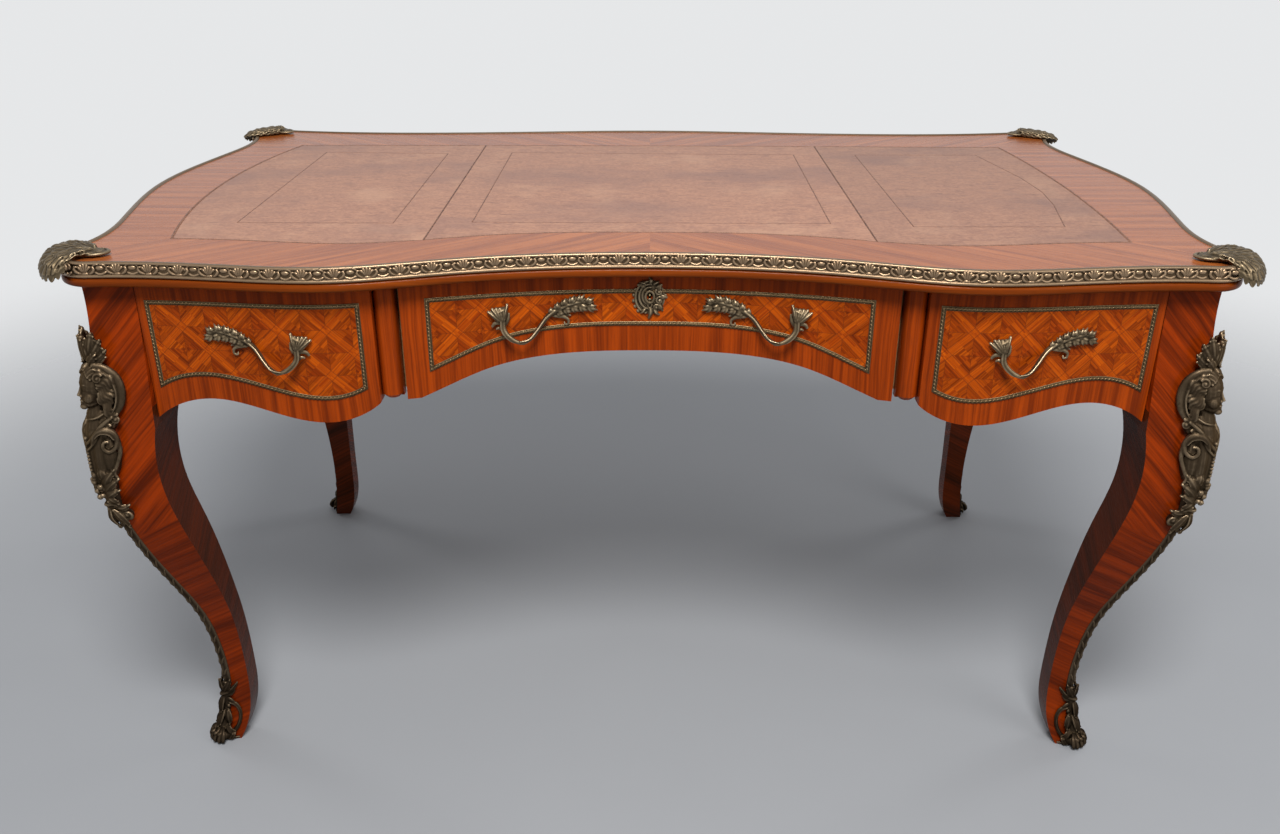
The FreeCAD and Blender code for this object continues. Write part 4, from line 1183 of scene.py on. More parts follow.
def makeFronts():
    for side in ("left", "centre", "right"):
        face, name, body = deskFaces[side], "drawer_" + side + "_trim", "drawer_" + side
        arched = side == "centre"
        middle = archedLoop(name, face) if arched else middleLoop(*frameLoops(name, face.out)[:2])
        seat, normals = trimRun(face, middle)
        makeTrim(side + "Trim", body, name, [(seat, normals)])
        hole = (0, escutcheonLook["keyhole"], fieldLook["keyholeRadius"]) if arched else None
        makeField(side + "Field", body, face, seat, hole)
    runs = []
    for label in ("back", "endRight", "endLeft"):
        face = deskFaces[label]
        for k, pair in enumerate(pairLoops(frameLoops("panel_trims", face.out))):
            seat, normals = trimRun(face, middleLoop(*pair))
            runs.append((seat, normals))
            makeField("{}Field{}".format(label, k), "carcass", face, seat)
    makeTrim("panelTrims", "carcass", "panel_trims", runs)


makeFronts()
print("frames and parquetry")

# tooling of the leather: a toothed line along every edge and a plain dark line further in
toolingLook = {"pitch": 0.0034, "inset": 0.0030, "rimShare": 0.2, "frameStep": 0.01, "speckScale": 240.0,
               "speckEdge": (0.35, 0.65), "seam": 0.290, "seamGap": 0.012, "top": 0.7780, "rimLine": 0.8,
               "frameLine": 0.95, "proud": 0.05, "sunk": 0.4, "dark": (0.075, 0.030, 0.017, 1),
               "pale": (0.22, 0.095, 0.052, 1)}
innerFrames = [[(-0.556, -0.232), (-0.346, -0.231), (-0.346, 0.218), (-0.556, 0.226)],
               [(-0.240, -0.225), (0.243, -0.226), (0.245, 0.217), (-0.237, 0.228)],
               [(0.352, -0.240), (0.554, -0.238), (0.578, -0.120), (0.586, -0.043), (0.582, 0.050),
                (0.556, 0.220), (0.350, 0.217)]]


def toolingMaterial():
    material, tree, shader = newMaterial("toolingLine", Roughness=0.55)
    look = toolingLook
    speck = ramp(tree, noise(tree, objectSpot(tree), look["speckScale"], 3.0, 0.6), *look["speckEdge"])
    tree.links.new(mixed(tree, speck, look["dark"], look["pale"]), shader.inputs["Base Color"])
    return material


def keptRuns(loop, keep):  # stretches of a closed loop whose points are kept
    start = int(np.argmin(keep))
    runs, run = [], []
    for i in np.roll(np.arange(len(loop)), -start):
        if keep[i]:
            run.append(loop[i])
        elif run:
            runs.append(np.array(run))
            run = []
    if run:
        runs.append(np.array(run))
    return [r for r in runs if len(r) > 3]


def lineProfile(half):
    proud, sunk = toolingLook["proud"], -toolingLook["sunk"]
    return [(a * mm, b * mm) for a, b in ((-half, proud), (half, proud), (half, sunk), (-half, sunk))]


def makeTooling():
    look, material = toolingLook, toolingMaterial()
    clay = Clay()
    clay.rope([(-0.0011, -0.0012, 0), (0, 0.0012, 0.0001), (0.0011, -0.0012, 0)], [0.0005, 0.0005], 0.5,
              sides=4, count=4, soft=False)
    stamp = clay.raw("stamp")
    lines, ribbons = [], []
    for side in ("left", "centre", "right"):
        outline = faceLoops("leather_" + side, (0, 0, 1))[0]
        rim = insetLoop(outline, look["inset"])
        rim[:, 2] = look["top"]
        for run in keptRuns(rim, np.abs(np.abs(rim[:, 0]) - look["seam"]) > look["seamGap"]):
            lines.append((run, (0, 0, 1), np.cross((0, 0, 1), unit(np.gradient(run, axis=0))), False))
        edge = insetLoop(outline, look["inset"] * look["rimShare"])
        edge[:, 2] = look["top"]
        ribbons.append(sweep("rim", edge, (0, 0, 1), lineProfile(look["rimLine"]), True))
    for outline in innerFrames:
        loop = dense(np.array([(x, y, look["top"]) for x, y in outline]), look["frameStep"])
        ribbons.append(sweep("frameLine", loop, (0, 0, 1), lineProfile(look["frameLine"]), True))
    stamps = layUnits("stamps", lines, look["pitch"], stamp, material)
    settle(joined("leatherTooling", *ribbons, stamps), "carcass", "tooled_leather", material)
    dropShape(stamp)


# handles: an acanthus leaf, a stem that bows out from the drawer and a flower cup at its end
handleLook = {"side": (0.48425, 0.664), "centre": (0.137, 0.686), "voxel": 0.00075, "sunk": 0.4}


def shapeHandle(clay):
    out = (0, 0, 1)
    clay.rope([(-30, 19.5, 3), (-18, 14.5, 3.6), (-8, 8, 4.6), (2, -3, 8), (14, -17, 14), (27, -23, 17),
               (40, -17, 14.5), (48.5, -6, 9.5), (49, 5, 7)],
              [3.0, 3.5, 3.4, 3.0, 2.7, 2.6, 2.7, 2.9, 3.4], facing=out, count=44, sides=10)
    clay.rope([(-16, 14.5, 6), (-4, 5.5, 8.4), (8, -8.5, 14), (20, -19, 19), (30, -20.5, 20)],
              [1.7, 1.5, 1.3, 0.7], facing=out, count=28)
    clay.rope([(24, -25.5, 17), (40, -20.5, 16), (51, -8, 11.4), (52, 6, 9.6)], [0.7, 1.4, 1.7],
              facing=out, count=28)
    # leaf: a blade, then lobes that lap over one another, each split into fingers
    clay.rope([(-12, 11, 2.4), (-30, 19.5, 2.8), (-48, 23, 2.8), (-64, 19, 2.0)], [4.0, 8.0, 8.8, 4.6],
              0.40, out, 12, 26)
    clay.rope([(-14, 12, 4.2), (-36, 22, 5.6), (-54, 24.5, 5.0), (-68, 16.5, 3.0)], [2.4, 2.0, 1.5, 0.8],
              facing=out, count=26)
    upper = [(-12, 10, -11, 18.5), (-19, 14.5, -20, 25), (-27, 18.5, -30, 29.5), (-36, 21.5, -41, 33),
             (-46, 23, -54, 34), (-55, 22.5, -66, 29)]
    lower = [(-18, 12.5, -29, 9), (-27, 17, -38, 10.5), (-37, 20, -48, 11), (-47, 21, -58, 11.5),
             (-57, 19.5, -70.5, 12.5)]
    for k, (ax, ay, bx, by) in enumerate(upper + lower):
        rise = 5.0 + 0.6 * (k % 2)
        for turn, size in ((-0.42, 0.80), (0.0, 1.0), (0.40, 0.84)):
            dx, dy = (bx - ax) * size, (by - ay) * size
            tx = ax + dx * math.cos(turn) - dy * math.sin(turn)
            ty = ay + dx * math.sin(turn) + dy * math.cos(turn)
            bend = (ax * 0.45 + tx * 0.55 + 0.8, ay * 0.45 + ty * 0.55 + (0.8 if by > ay else -0.2),
                    rise + (1 - abs(turn)))
            clay.rope([(ax, ay, 3.2), bend, (tx, ty, 2.8)], [2.1, 2.5, 0.9], 0.72, out, 9, 14)
    # tendril under the root of the leaf
    clay.rope([(-10, 7, 3), (-19, 6.5, 4.2), (-27, 5.5, 4.8), (-32.5, 1, 4.4), (-32, -4.5, 3.8),
               (-28, -5, 3.6), (-27.5, -2, 3.6)], [1.4, 2.2, 2.8, 2.5, 1.9, 1.5, 1.2], 0.9, out, 9, 26)
    clay.rope([(-8, 7, 3), (-18, 10, 3.8), (-28, 9.5, 4.2), (-36, 6, 3)], [1.8, 3.0, 2.8, 1.2], 0.6, out,
              9, 16)
    # flower cup with ribbed petals, a turned-back sepal and a bud
    clay.rope([(48.8, 1, 6.5), (49.6, 9, 6), (53.0, 16.5, 5.0)], [4.4, 7.0, 10.5], 0.46, out, 14, 12)
    petals = ((43.0, 26.0, 3.2), (47.5, 22.0, 3.6), (52.5, 21.5, 3.6), (57.5, 21.5, 3.6),
              (62.5, 21.0, 3.6), (67.5, 17.5, 3.4), (62.5, 12.0, 3.0))
    for bx, by, wide in petals:
        midX, midY = 50.0 + (bx - 50) * 0.6, 3 + (by - 3) * 0.62
        clay.rope([(49.2, 1, 8.2), (midX, midY, 8.2), (bx, by, 4.6)], [2.0, wide, wide * 0.62], 0.55, out,
                  9, 16)
        clay.rope([(49.2, 3, 9.8), (midX, midY, 9.9), (bx, by, 6.2)], [0.7, 0.9, 0.7], 1, out, 6, 14)
    clay.rope([(48, -2, 7), (55, 2.5, 7), (60, 1.0, 5.5), (63.0, -3.5, 4.2)], [2.2, 3.0, 2.8, 1.9], 0.8,
              out, 9, 14)
    clay.rope([(47.5, -2, 7), (43.2, 7, 6.8), (41.8, 14, 5)], [2.2, 3.0, 1.7], 0.8, out, 9, 12)
    clay.rope([(50, -8, 9), (55.5, -4.5, 7.4), (58, -6.5, 6)], [1.8, 2.2, 1.4], 0.8, out, 9, 12)
    # small leaves over the petals
    for bx, by, lift in ((46.5, 13, 8.6), (51, 15, 9.2), (56, 15.5, 8.8), (60.5, 14.5, 7.8)):
        clay.rope([(49.5, 2, 8.6), (49.8 + (bx - 49.8) * 0.6, 2 + (by - 2) * 0.6, lift + 0.6),
                   (bx, by, lift - 1.6)], [1.4, 2.3, 1.0], 0.8, out, 8, 12)
    clay.ball((56, 14, 5.4), (9, 7.5, 3.4), 12, 8)
    # seats on the drawer
    clay.ball((-37.8, 19, 0.8), (7, 3, 2.5))
    clay.ball((53, 12, 1.6), (6, 6, 4.5))


def makeHandles():
    spots = {"handle_left": ("left", -1, "side", 1), "handle_right": ("right", 1, "side", -1),
             "handle_centre_left": ("centre", -1, "centre", -1),
             "handle_centre_right": ("centre", 1, "centre", 1)}
    for name, (side, sign, seat, turn) in spots.items():
        face, (x, z) = deskFaces[side], handleLook[seat]
        clay = Clay()
        shapeHandle(clay)
        seatNormal = face.normal((sign * x, 0, z))
        made = []
        for u, v, d in clay.points:
            on = face.at(sign * x + turn * u * mm, z + v * mm)
            made.append(tuple(on + seatNormal * (d - handleLook["sunk"]) * mm))
        clay.points = made
        piece = clay.fire(name.replace("handle", "bronzeHandle"), handleLook["voxel"])
        settle(piece, "drawer_" + side, "aged_bronze", agedBronze, name)


# keyhole mount: nested shell lines on the left, a ring round the keyhole, curls on the right
def arcLine(cx, cy, rx, ry, start, stop, lift):
    turns = [math.radians(a) for a in np.linspace(start, stop, escutcheonLook["arcStations"])]
    return [(cx + rx * math.cos(a), cy + ry * math.sin(a), lift) for a in turns]


def makeEscutcheon():
    clay, out = Clay(), (0, 0, 1)
    # plate, left open round the keyhole
    for rx, wide in ((7.6, 2.6), (11.0, 2.8), (14.2, 2.8), (16.4, 2.6)):
        clay.rope(arcLine(0.8, -2.4, rx, rx * 1.24, 60, 420, 0.6), [wide] * 3, 0.42, out, 8, 52)
    clay.rope(arcLine(0, -1.4, 5.4, 7.6, 60, 420, 3.2), [1.7, 1.9, 1.7], 1.0, out, 10, 44)
    clay.ball((0, -7.4, 0.3), (4.6, 3.6, 1.4), 12, 8)
    for k in range(7):  # small lobes along the outer line
        a = math.radians(112 + 19 * k)
        clay.ball((-1.2 + 19.4 * math.cos(a), -3.6 + 23.2 * math.sin(a), 1.2), (2.6, 2.6, 2.0), 9, 7)
    for k, (rx, ry) in enumerate(((9.4, 11.4), (13.0, 16.4), (17.4, 21.4))):  # nested lines round the left
        line = arcLine(-0.4 * k, -1.2 * k, rx, ry, 78, 268 - 5 * k, 2.8 - 0.4 * k)
        clay.rope(line, [1.0, 1.6, 1.8, 1.7, 1.1], 1.0, out, 8, 54)
    for s in (-1, 1):  # cheeks of the slot
        clay.rope([(s * 2.2, -5.6, 2.2), (s * 2.5, -11.5, 2.8), (s * 1.4, -17.5, 2.0)], [1.0, 1.5, 0.9],
                  1.0, out, 8, 14)
    # ragged lobes on the rim
    lobes = ((-52, 3.2, 16), (-30, 5.0, -14), (-9, 3.4, 18), (12, 4.6, -12), (34, 3.0, 14), (55, 3.6, -10),
             (122, 2.2, 12))
    for angle, far, bend in lobes:
        line = []
        for radius, turn, lift in ((0.72, 0.0, 1.0), (0.92, bend * 0.6, 2.6), (1.0, bend, 1.2)):
            a, grow = math.radians(angle + turn), far if radius == 1.0 else 0.0
            line.append((0.8 + (17.0 * radius + grow) * math.cos(a),
                         -2.4 + (21.0 * radius + grow) * math.sin(a), lift))
        clay.rope(line, [2.2, 2.9, 1.5], 0.75, out, 9, 14)
    # curls on the right
    for x, y, size, start in ((11.6, 5.4, 4.4, 2.4), (12.4, -6.2, 5.2, 0.8), (8.2, -15.2, 3.8, 0.2)):
        clay.curl((x, y, 3.0), (1, 0, 0), (0, 1, 0), size, 1.3, 1.5, start=start)
    tails = (((0.5, -16, 1.4), (1.0, -22, 3.4), (-1.5, -30.5, 1.6), 2.6),
             ((-5, -16, 1.2), (-8, -20, 2.8), (-12, -24, 1.2), 2.2),
             ((5, -17, 1.2), (8, -22.5, 3.0), (12.5, -26, 1.2), 2.4),
             ((0.5, 16, 1.2), (1.5, 20, 2.8), (-0.5, 24.5, 1.2), 2.5),
             ((5, 15, 1.2), (9, 18, 2.4), (12, 18.5, 1.0), 2.0),
             ((-5, 15, 1.2), (-9, 17.5, 2.4), (-12.5, 17, 1.0), 2.0))
    for base, bend, tip, wide in tails:  # leafy tail and crest
        clay.rope([base, bend, tip], [wide, wide * 1.15, wide * 0.55], 0.8, out, 10, 14)
        clay.rope([np.array(base) + (0, 0, 1.8), np.array(bend) + (0, 0, 1.9),
                   np.array(tip) + (0, 0, 0.8)], [0.6, 0.9, 0.6], 1.0, out, 6, 12)
    look, face = escutcheonLook, deskFaces["centre"]
    z = look["keyhole"]

    def pressed(u, v, d):  # laid on the drawer's face
        on = face.spot((u * mm, 0, min(z + v * mm, look["faceTop"])))
        return (on.x, on.y - (d - look["sunk"]) * mm, z + v * mm)

    clay.points = [pressed(*p) for p in clay.points]
    settle(clay.fire("keyholeMount", look["voxel"]), "drawer_centre", "aged_bronze", agedBronze,
           "escutcheon")


# corner mounts: a hemmed tongue on the wood swells into a fluted leaf that rounds down over the corner
cornerLook = {"origin": (0.697, -0.39817), "voxel": 0.0008, "root": (-21, 13, 784), "dome": 791.0,
              "brow": 788.0, "wall": 7.0, "deck": 780.5, "flutes": 21, "depth": 2.6, "lap": 1.5,
              "ripple": 0.7, "rows": (0.0, 0.30, 0.52, 0.72, 1.0), "scallop": 0.10}
# edge of the leaf, from the front of the tongue round the corner to the back of it
cornerHem = [(-10, 3, 781), (-4, -12, 780), (1, -21, 772), (7, -26, 763), (14, -29, 757.5),
             (24, -27, 756.5), (34, -19, 756.5), (43, -7, 758), (49, 8, 762), (51, 23, 768), (47, 37, 774),
             (38, 47, 778), (25, 50, 780), (10, 45, 780), (-3, 37, 780), (-15, 27, 780)]


def leafShell(clay, look):  # body of the leaf: rows of lobes that lap, then flutes down to a scalloped edge
    hem, root = softLine(cornerHem, 260), np.array(look["root"], float)
    count = np.linspace(0, look["flutes"], len(hem))[None, :]
    ridgeAt = np.abs(np.sin(np.pi * count))
    along = np.linspace(0, 1, 70)[:, None] * (1 - look["scallop"] * (1 - ridgeAt ** 0.6))
    t = along[..., None]
    lead, brow = root + (hem - root) * 0.42, hem.copy()
    lead[:, 2], brow[:, 2] = look["dome"], look["brow"]
    body = (1 - t) ** 3 * root + 3 * (1 - t) ** 2 * t * lead + 3 * (1 - t) * t * t * brow + t ** 3 * hem
    normal = unit(np.cross(np.gradient(body, axis=1), np.gradient(body, axis=0)))
    normal *= np.where(normal[..., 2:] < -0.2, -1, 1)
    normal[0] = (0, 0, 1)
    relief, wave = np.zeros(along.shape), 0.22 * np.sin(6 * along + 1.3 * count)
    for k, (start, stop) in enumerate(zip(look["rows"], look["rows"][1:])):
        ridge = np.abs(np.sin(np.pi * (count + 0.5 * k + wave))) ** 0.7
        inside = (along >= start + (0.07 * ridge if k else 0)) & (along <= 1)
        place = np.clip((along - start) / (stop - start), 0, 1)
        fluted = look["depth"] * (0.45 + 0.55 * along) * (ridge - 0.5) + look["lap"] * place
        relief = np.where(inside, fluted, relief)
    relief += look["ripple"] * np.sin(26 * along + 2.1 * count) * np.sin(np.pi * np.clip(along, 0, 1))
    outer = body + normal * relief[..., None]
    inner = body - normal * look["wall"] * np.clip(1.25 * (1 - t), 0.12, 1)
    ring = np.concatenate([outer, inner[:, ::-1]], axis=1)
    rows, columns, half = ring.shape[0], ring.shape[1], len(hem)
    sides = gridFaces(rows, columns)
    ends = []
    for row in (0, rows - 1):
        base, last = row * columns, (row + 1) * columns - 1
        ends += [(base + c, base + c + 1, last - 1 - c, last - c) for c in range(half - 1)]
    clay.add(ring.reshape(-1, 3), sides + ends)


def makeCorner():
    look = cornerLook
    clay = Clay(lambda x, y, z: (look["origin"][0] + x * mm, look["origin"][1] + y * mm, z * mm))
    leafShell(clay, look)
    root = np.array(look["root"][:2], float)
    reach = unit(np.array((-1.0, 0.24)))
    side = np.array((-reach[1], reach[0]))

    def onDeck(p, lift):
        return (p[0], p[1], look["deck"] + lift)

    tongue = [root + reach * d for d in (-26, -10, 0, 7)]
    clay.rope([onDeck(p, 1.4) for p in tongue], [10, 14, 13, 10], 0.32, (0, 0, 1), 14, 18)
    turns = np.linspace(-2.3, 2.3, 20)
    hem = [root + reach * (-4 + 18 * math.cos(a)) + side * 12.6 * math.sin(a) for a in turns]
    clay.rope([onDeck(p, 1.8) for p in hem], [2.2, 2.5, 2.2], 0.9, (0, 0, 1), 9, 36)
    for s in (-1, 1):  # two small scrolls inside the hem, and leaflets that lead to the dome
        centre = root + reach * 4.0 + side * s * 4.6
        clay.curl(onDeck(centre, 3.8), (reach[0], reach[1], 0), (side[0] * s, side[1] * s, 0), 3.6, 1.3,
                  1.4, start=0.4)
        for d, w, far in ((-1, 2.0, 4.0), (-6, 4.0, 8.5), (-12, 5.0, 11.0)):
            line = [root + reach * d + side * s * w, root + reach * (d - 6) + side * s * (w + far) * 0.6,
                    root + reach * (d - 10) + side * s * far]
            clay.rope([onDeck(p, 3.8 + 0.25 * abs(d)) for p in line], [1.2, 2.3, 1.4], 0.9, (0, 0, 1), 8,
                      14)
    spine = [onDeck(root + reach * d, lift) for d, lift in ((3, 4.2), (-8, 6.4), (-18, 8.0), (-28, 8.0))]
    clay.rope(spine, [1.1, 1.9, 2.0, 1.2], 0.9, (0, 0, 1), 8, 20)
    return clay.fire("cornerMountFrontRight", look["voxel"])


corners = {"front_right": (False, False), "front_left": (True, False), "back_right": (False, True),
           "back_left": (True, True)}


def fourCorners(master, label, material, prefix):
    for corner, (flipX, flipY) in corners.items():
        piece = master
        if flipX or flipY:
            piece = mirrored(master, label + corner.title().replace("_", ""), flipX, flipY, middleY)
        settle(piece, "carcass", "aged_bronze", material, prefix + corner)


# front right leg: its arris, and places given as outwards, sideways and height in mm
legTree = sightTree("leg_front_right")
outward, sideward = Vector((1, -1, 0)).normalized(), Vector((1, 1, 0)).normalized()
arrisBase, farOut = Vector((0.149415, 0.149415, 0)), 1.6
cosHalfRight = 0.7071  # the two faces of the leg stand at 45 degrees to its arris


def arrisAt(z):
    return hit(legTree, arrisBase + outward * farOut + Vector((0, 0, z)), -outward)


arrisHeights = np.linspace(0.002, 0.745, 300)
arrisOut = np.array([arrisAt(z).dot(outward) for z in arrisHeights])


def legPlace(o, s, z):
    base = np.interp(z * mm, arrisHeights, arrisOut)
    return tuple(arrisBase + outward * (base + o * mm) + sideward * (s * mm) + Vector((0, 0, z * mm)))


def onFace(f, n, z, sign):  # f along the face from the arris, n above the face
    return ((n - f) * cosHalfRight, sign * (f + n) * cosHalfRight, z)


def faceLine(sign, *points):
    return [onFace(f, n, z, sign) for f, n, z in points]


# bust mount: plume, head with swept hair and a veil, body with side scrolls, fruit and a leafy end
bustLook = {"voxel": 0.00096, "headMiddle": 615.0, "headHeight": 58.0, "headSize": 1.1, "headOut": 5.0,
            "headTilt": 0.15}


def shapeHead(clay, chin):
    def at(o, s, h):
        return (o, s, chin + h)

    ahead = (1, 0, 0)
    clay.ball(at(-9, 0, 33), (18.5, 17.5, 25), 20, 14)
    clay.ball(at(-2, 0, 38.5), (11, 13.4, 10.5), 16, 12)
    clay.ball(at(-3, 0, 20), (12.4, 13.2, 18.5), 18, 14)
    clay.ball(at(-3.4, 0, 9.5), (11.6, 11, 9), 16, 12)
    clay.ball(at(5.2, 0, 4.6), (5.2, 5.6, 4.6), 14, 10)
    clay.ball(at(3.9, 0, 12.0), (5.2, 6.6, 5.6), 14, 10)
    clay.rope([at(8.2, 0, 31.5), at(9.8, 0, 25.5), at(11.6, 0, 20.0)], [1.7, 1.7, 2.2], facing=ahead,
              count=14)
    clay.rope([at(7.4, -3.8, 11.6), at(9.0, -1.4, 12.7), at(8.8, 0, 12.4), at(9.0, 1.4, 12.7),
               at(7.4, 3.8, 11.6)], [0.6, 1.1, 1.1, 1.1, 0.6], facing=ahead, count=18)
    clay.rope([at(7.3, -3.2, 10.6), at(8.8, 0, 9.4), at(7.3, 3.2, 10.6)], [0.7, 1.3, 0.7], facing=ahead,
              count=14)
    for s in (-1, 1):
        clay.ball(at(1.6, 6.8 * s, 16.8), (6.8, 6.2, 8.2), 14, 10)
        clay.ball(at(9.4, 2.2 * s, 19.0), (2.2, 1.5, 1.5), 9, 7)
        clay.rope([at(8.2, 1.8 * s, 32.6), at(7.6, 6 * s, 34.0), at(3.2, 11.2 * s, 32.2)], [1.1, 1.2, 0.9],
                  facing=ahead)
        clay.ball(at(4.5, 5.9 * s, 29.4), 2.9, 12, 10)
        clay.rope([at(6.0, 2.8 * s, 29.2), at(7.4, 5.9 * s, 30.8), at(4.8, 9.4 * s, 29.0)],
                  [0.6, 0.8, 0.6], facing=ahead)
        clay.rope([at(5.8, 3.0 * s, 28.4), at(6.7, 5.9 * s, 27.3), at(4.6, 9.0 * s, 28.6)],
                  [0.5, 0.6, 0.5], facing=ahead)
        # hair swept back from the forehead
        for k in range(6):
            part, line = k / 5, []
            for t in np.linspace(0, 1, 14):
                a = math.radians((43 - 16 * part) * (1 - t) + (180 - 10 * part) * t)
                wave = 4.0 * math.sin(13 * t + 1.1 * k)
                b = math.radians((4 + 44 * part) * (1 - t) + (22 + 40 * part) * t + wave)
                line.append(at(-9 + 19.8 * math.cos(b) * math.cos(a), 18.8 * s * math.sin(b),
                               33 + 26.3 * math.cos(b) * math.sin(a)))
            clay.rope(line, [1.6, 2.5, 2.7, 2.5, 1.8], 1.0, (0, s, 0.2), 8, 34)


def makeBust():
    look = bustLook
    headBase = float(np.interp(look["headMiddle"] * mm, arrisHeights, arrisOut))

    def headPlace(o, s, z):  # the head is not sheared along the arris
        lean = (o * look["headSize"] + look["headOut"] - look["headTilt"] * (z - look["headMiddle"])) * mm
        sideways = s * look["headSize"] * mm
        return tuple(arrisBase + outward * (headBase + lean) + sideward * sideways + Vector((0, 0, z * mm)))

    clay = Clay(headPlace)
    shapeHead(clay, look["headMiddle"] - look["headHeight"] / 2)
    clay.place = legPlace
    rng = np.random.default_rng(7)
    # neck, chest and the tapering body
    clay.rope([(-4, 0, 604), (-4.5, 0, 588), (-5, 0, 570)], [9.8, 10.2, 13.0], facing=(1, 0, 0), sides=14)
    trunk = [(-8, 0, 582), (-7.5, 0, 570), (-7, 0, 557), (-7, 0, 542), (-7.5, 0, 524), (-7.2, 0, 505),
             (-7, 0, 486), (-6.5, 0, 468), (-6, 0, 455), (-5, 0, 444), (-5, 0, 430)]
    clay.rope(trunk, [11, 15.5, 17.5, 17.5, 16.8, 16.0, 15.2, 14.2, 11.5, 10.0, 10.5], 1.12, (0, 1, 0), 20,
              40)
    for s in (-1, 1):
        facing = onFace(0, 1, 0, s)

        def line(*points):
            return faceLine(s, *points)

        clay.ball((1.6, 8.4 * s, 552), (8.6, 8.2, 9.6), 14, 10)
        clay.ball(onFace(18, 0, 566, s), (14, 14, 13), 14, 10)
        clay.ball(onFace(18, 0, 522, s), (14, 14, 32), 14, 12)
        clay.rope(line((9, 6.6, 558), (9, 6.6, 520), (9, 6, 482)), [8.4, 8.8, 7.6], 1.0, facing, 14, 16)
        clay.ball(onFace(19, -3, 610, s), (12, 12, 20), 14, 10)
        clay.ball(onFace(27, -3, 606, s), (13, 13, 26), 14, 12)
        # wavy locks from the temple and cheek back to the nape
        for k in range(8):
            lock = []
            for t in np.linspace(0, 1, 11):
                wave = 1.9 * math.sin(11 * t + 1.3 * k)
                lock.append((11.5 + 0.3 * k + (21 - 1.0 * k) * t + 0.5 * wave,
                             15.5 - 4.5 * t + 0.9 * math.sin(9 * t + 2.1 * k),
                             639 - 5.0 * k - (15 + 2.2 * k) * t ** 1.2 + wave))
            clay.rope(line(*lock), [2.0, 3.0, 3.3, 3.1, 1.8], 1.0, facing, 9, 34)
        clay.curl(onFace(14, 17.5, 630, s), onFace(1, 0, 0, s), (0, 0, 1), 6.4, 1.5, 2.1, start=0.6)
        # smooth veil behind the hair with a raised line along it
        clay.rope(line((6, 14, 646), (19, 12, 642), (31, 8.5, 631), (38.5, 6.5, 613), (38.5, 6.5, 594),
                       (31, 8, 577)), [3.2, 4.6, 5.4, 5.6, 5.0, 3.4], 0.85, facing, 14, 40)
        clay.rope(line((8, 17.6, 642), (19, 16, 637), (28.5, 13, 626), (34, 11.4, 610), (33.5, 11.2, 594),
                       (28, 12, 580)), [1.0, 1.4, 1.5, 1.5, 1.4, 1.0], 1.0, facing, 8, 36)
        clay.curl(onFace(33, 10, 574, s), onFace(1, 0, 0, s), (0, 0, 1), 6.4, 1.4, 2.5, start=1.2)
        clay.curl(onFace(23, 13, 564, s), onFace(1, 0, 0, s), (0, 0, 1), 4.8, 1.3, 2.1, start=0.4)
        # strap across the chest and the necklines
        strap = line((29, 12, 578), (16, 15, 566), (5, 15.6, 551))
        clay.rope(strap + [(11.8, 0, 538)], [2.4, 3.2, 3.0, 2.2], 0.9, facing, 10, 26)
        clay.rope(line((20, 11, 583), (11, 12, 577)) + [(7.6, 0, 571)], [1.2, 1.6, 1.4], 1.0, facing, 9, 22)
        clay.rope(line((13, 16, 555), (5, 15.5, 543)) + [(11.6, 0, 529)], [1.1, 1.7, 1.3], 1.0, facing, 9,
                  20)
        # bold scroll at the shoulder, its rim runs down the side
        clay.rope(line((3, 15, 541), (7, 16, 553), (15, 15.5, 560), (25, 12.5, 558.5), (32, 9.5, 548),
                       (30.5, 10.5, 536), (22.5, 14, 531), (17, 15.5, 537), (19, 16, 545),
                       (24, 14.5, 545)), [2.0, 3.4, 4.6, 4.8, 4.2, 3.6, 3.0, 2.6, 2.4, 2.0], 0.9, facing,
                  10, 64)
        clay.rope(line((8, 18.5, 551), (15, 18.8, 557), (25, 16, 555), (30, 13.5, 547)),
                  [0.8, 1.2, 1.2, 0.8], 1.0, facing, 8, 26)
        clay.rope(line((33, 8.5, 546), (34.5, 8, 528), (29, 9.5, 511), (24.5, 11, 499), (28, 10, 489)),
                  [3.4, 3.2, 2.8, 2.6, 1.8], 0.9, facing, 10, 34)
        # fruit and leaves at the waist
        for k in range(16):
            f, z = rng.uniform(1, 22), rng.uniform(459, 498)
            clay.ball(onFace(f, 12.8 - 0.2 * f + rng.uniform(-1.4, 1.2), z, s), rng.uniform(3.0, 4.6), 9, 7)
        for f, z, g, y in ((6, 478, 25, 505), (5, 470, 28, 491), (5, 462, 25, 474), (9, 488, 8, 510),
                           (6, 466, 17, 452)):
            clay.flame(line((f, 11, z), ((f + g) / 2, 14.5, (z + y) / 2 + 2), (g, 9.5, y)), 4.4, facing,
                       3.0)
        # leafy end with two curls
        clay.curl(onFace(19, 8, 433, s), onFace(1, 0, 0, s), (0, 0, 1), 8.4, 1.4, 3.0, start=2.2)
        clay.ball(onFace(17, 3, 433, s), (8, 8, 8), 12, 8)
        clay.flame(line((4, 9, 442), (11, 12, 429), (14, 7, 412)), 5.0, facing, 3.0)
        clay.flame(line((8, 9, 447), (19, 10, 445), (28, 6, 449)), 4.2, facing, 3.0)
        clay.rope(line((3, 11, 456), (12, 10.5, 450), (20, 7.5, 447)), [2.0, 2.8, 1.8], 1.0, facing)
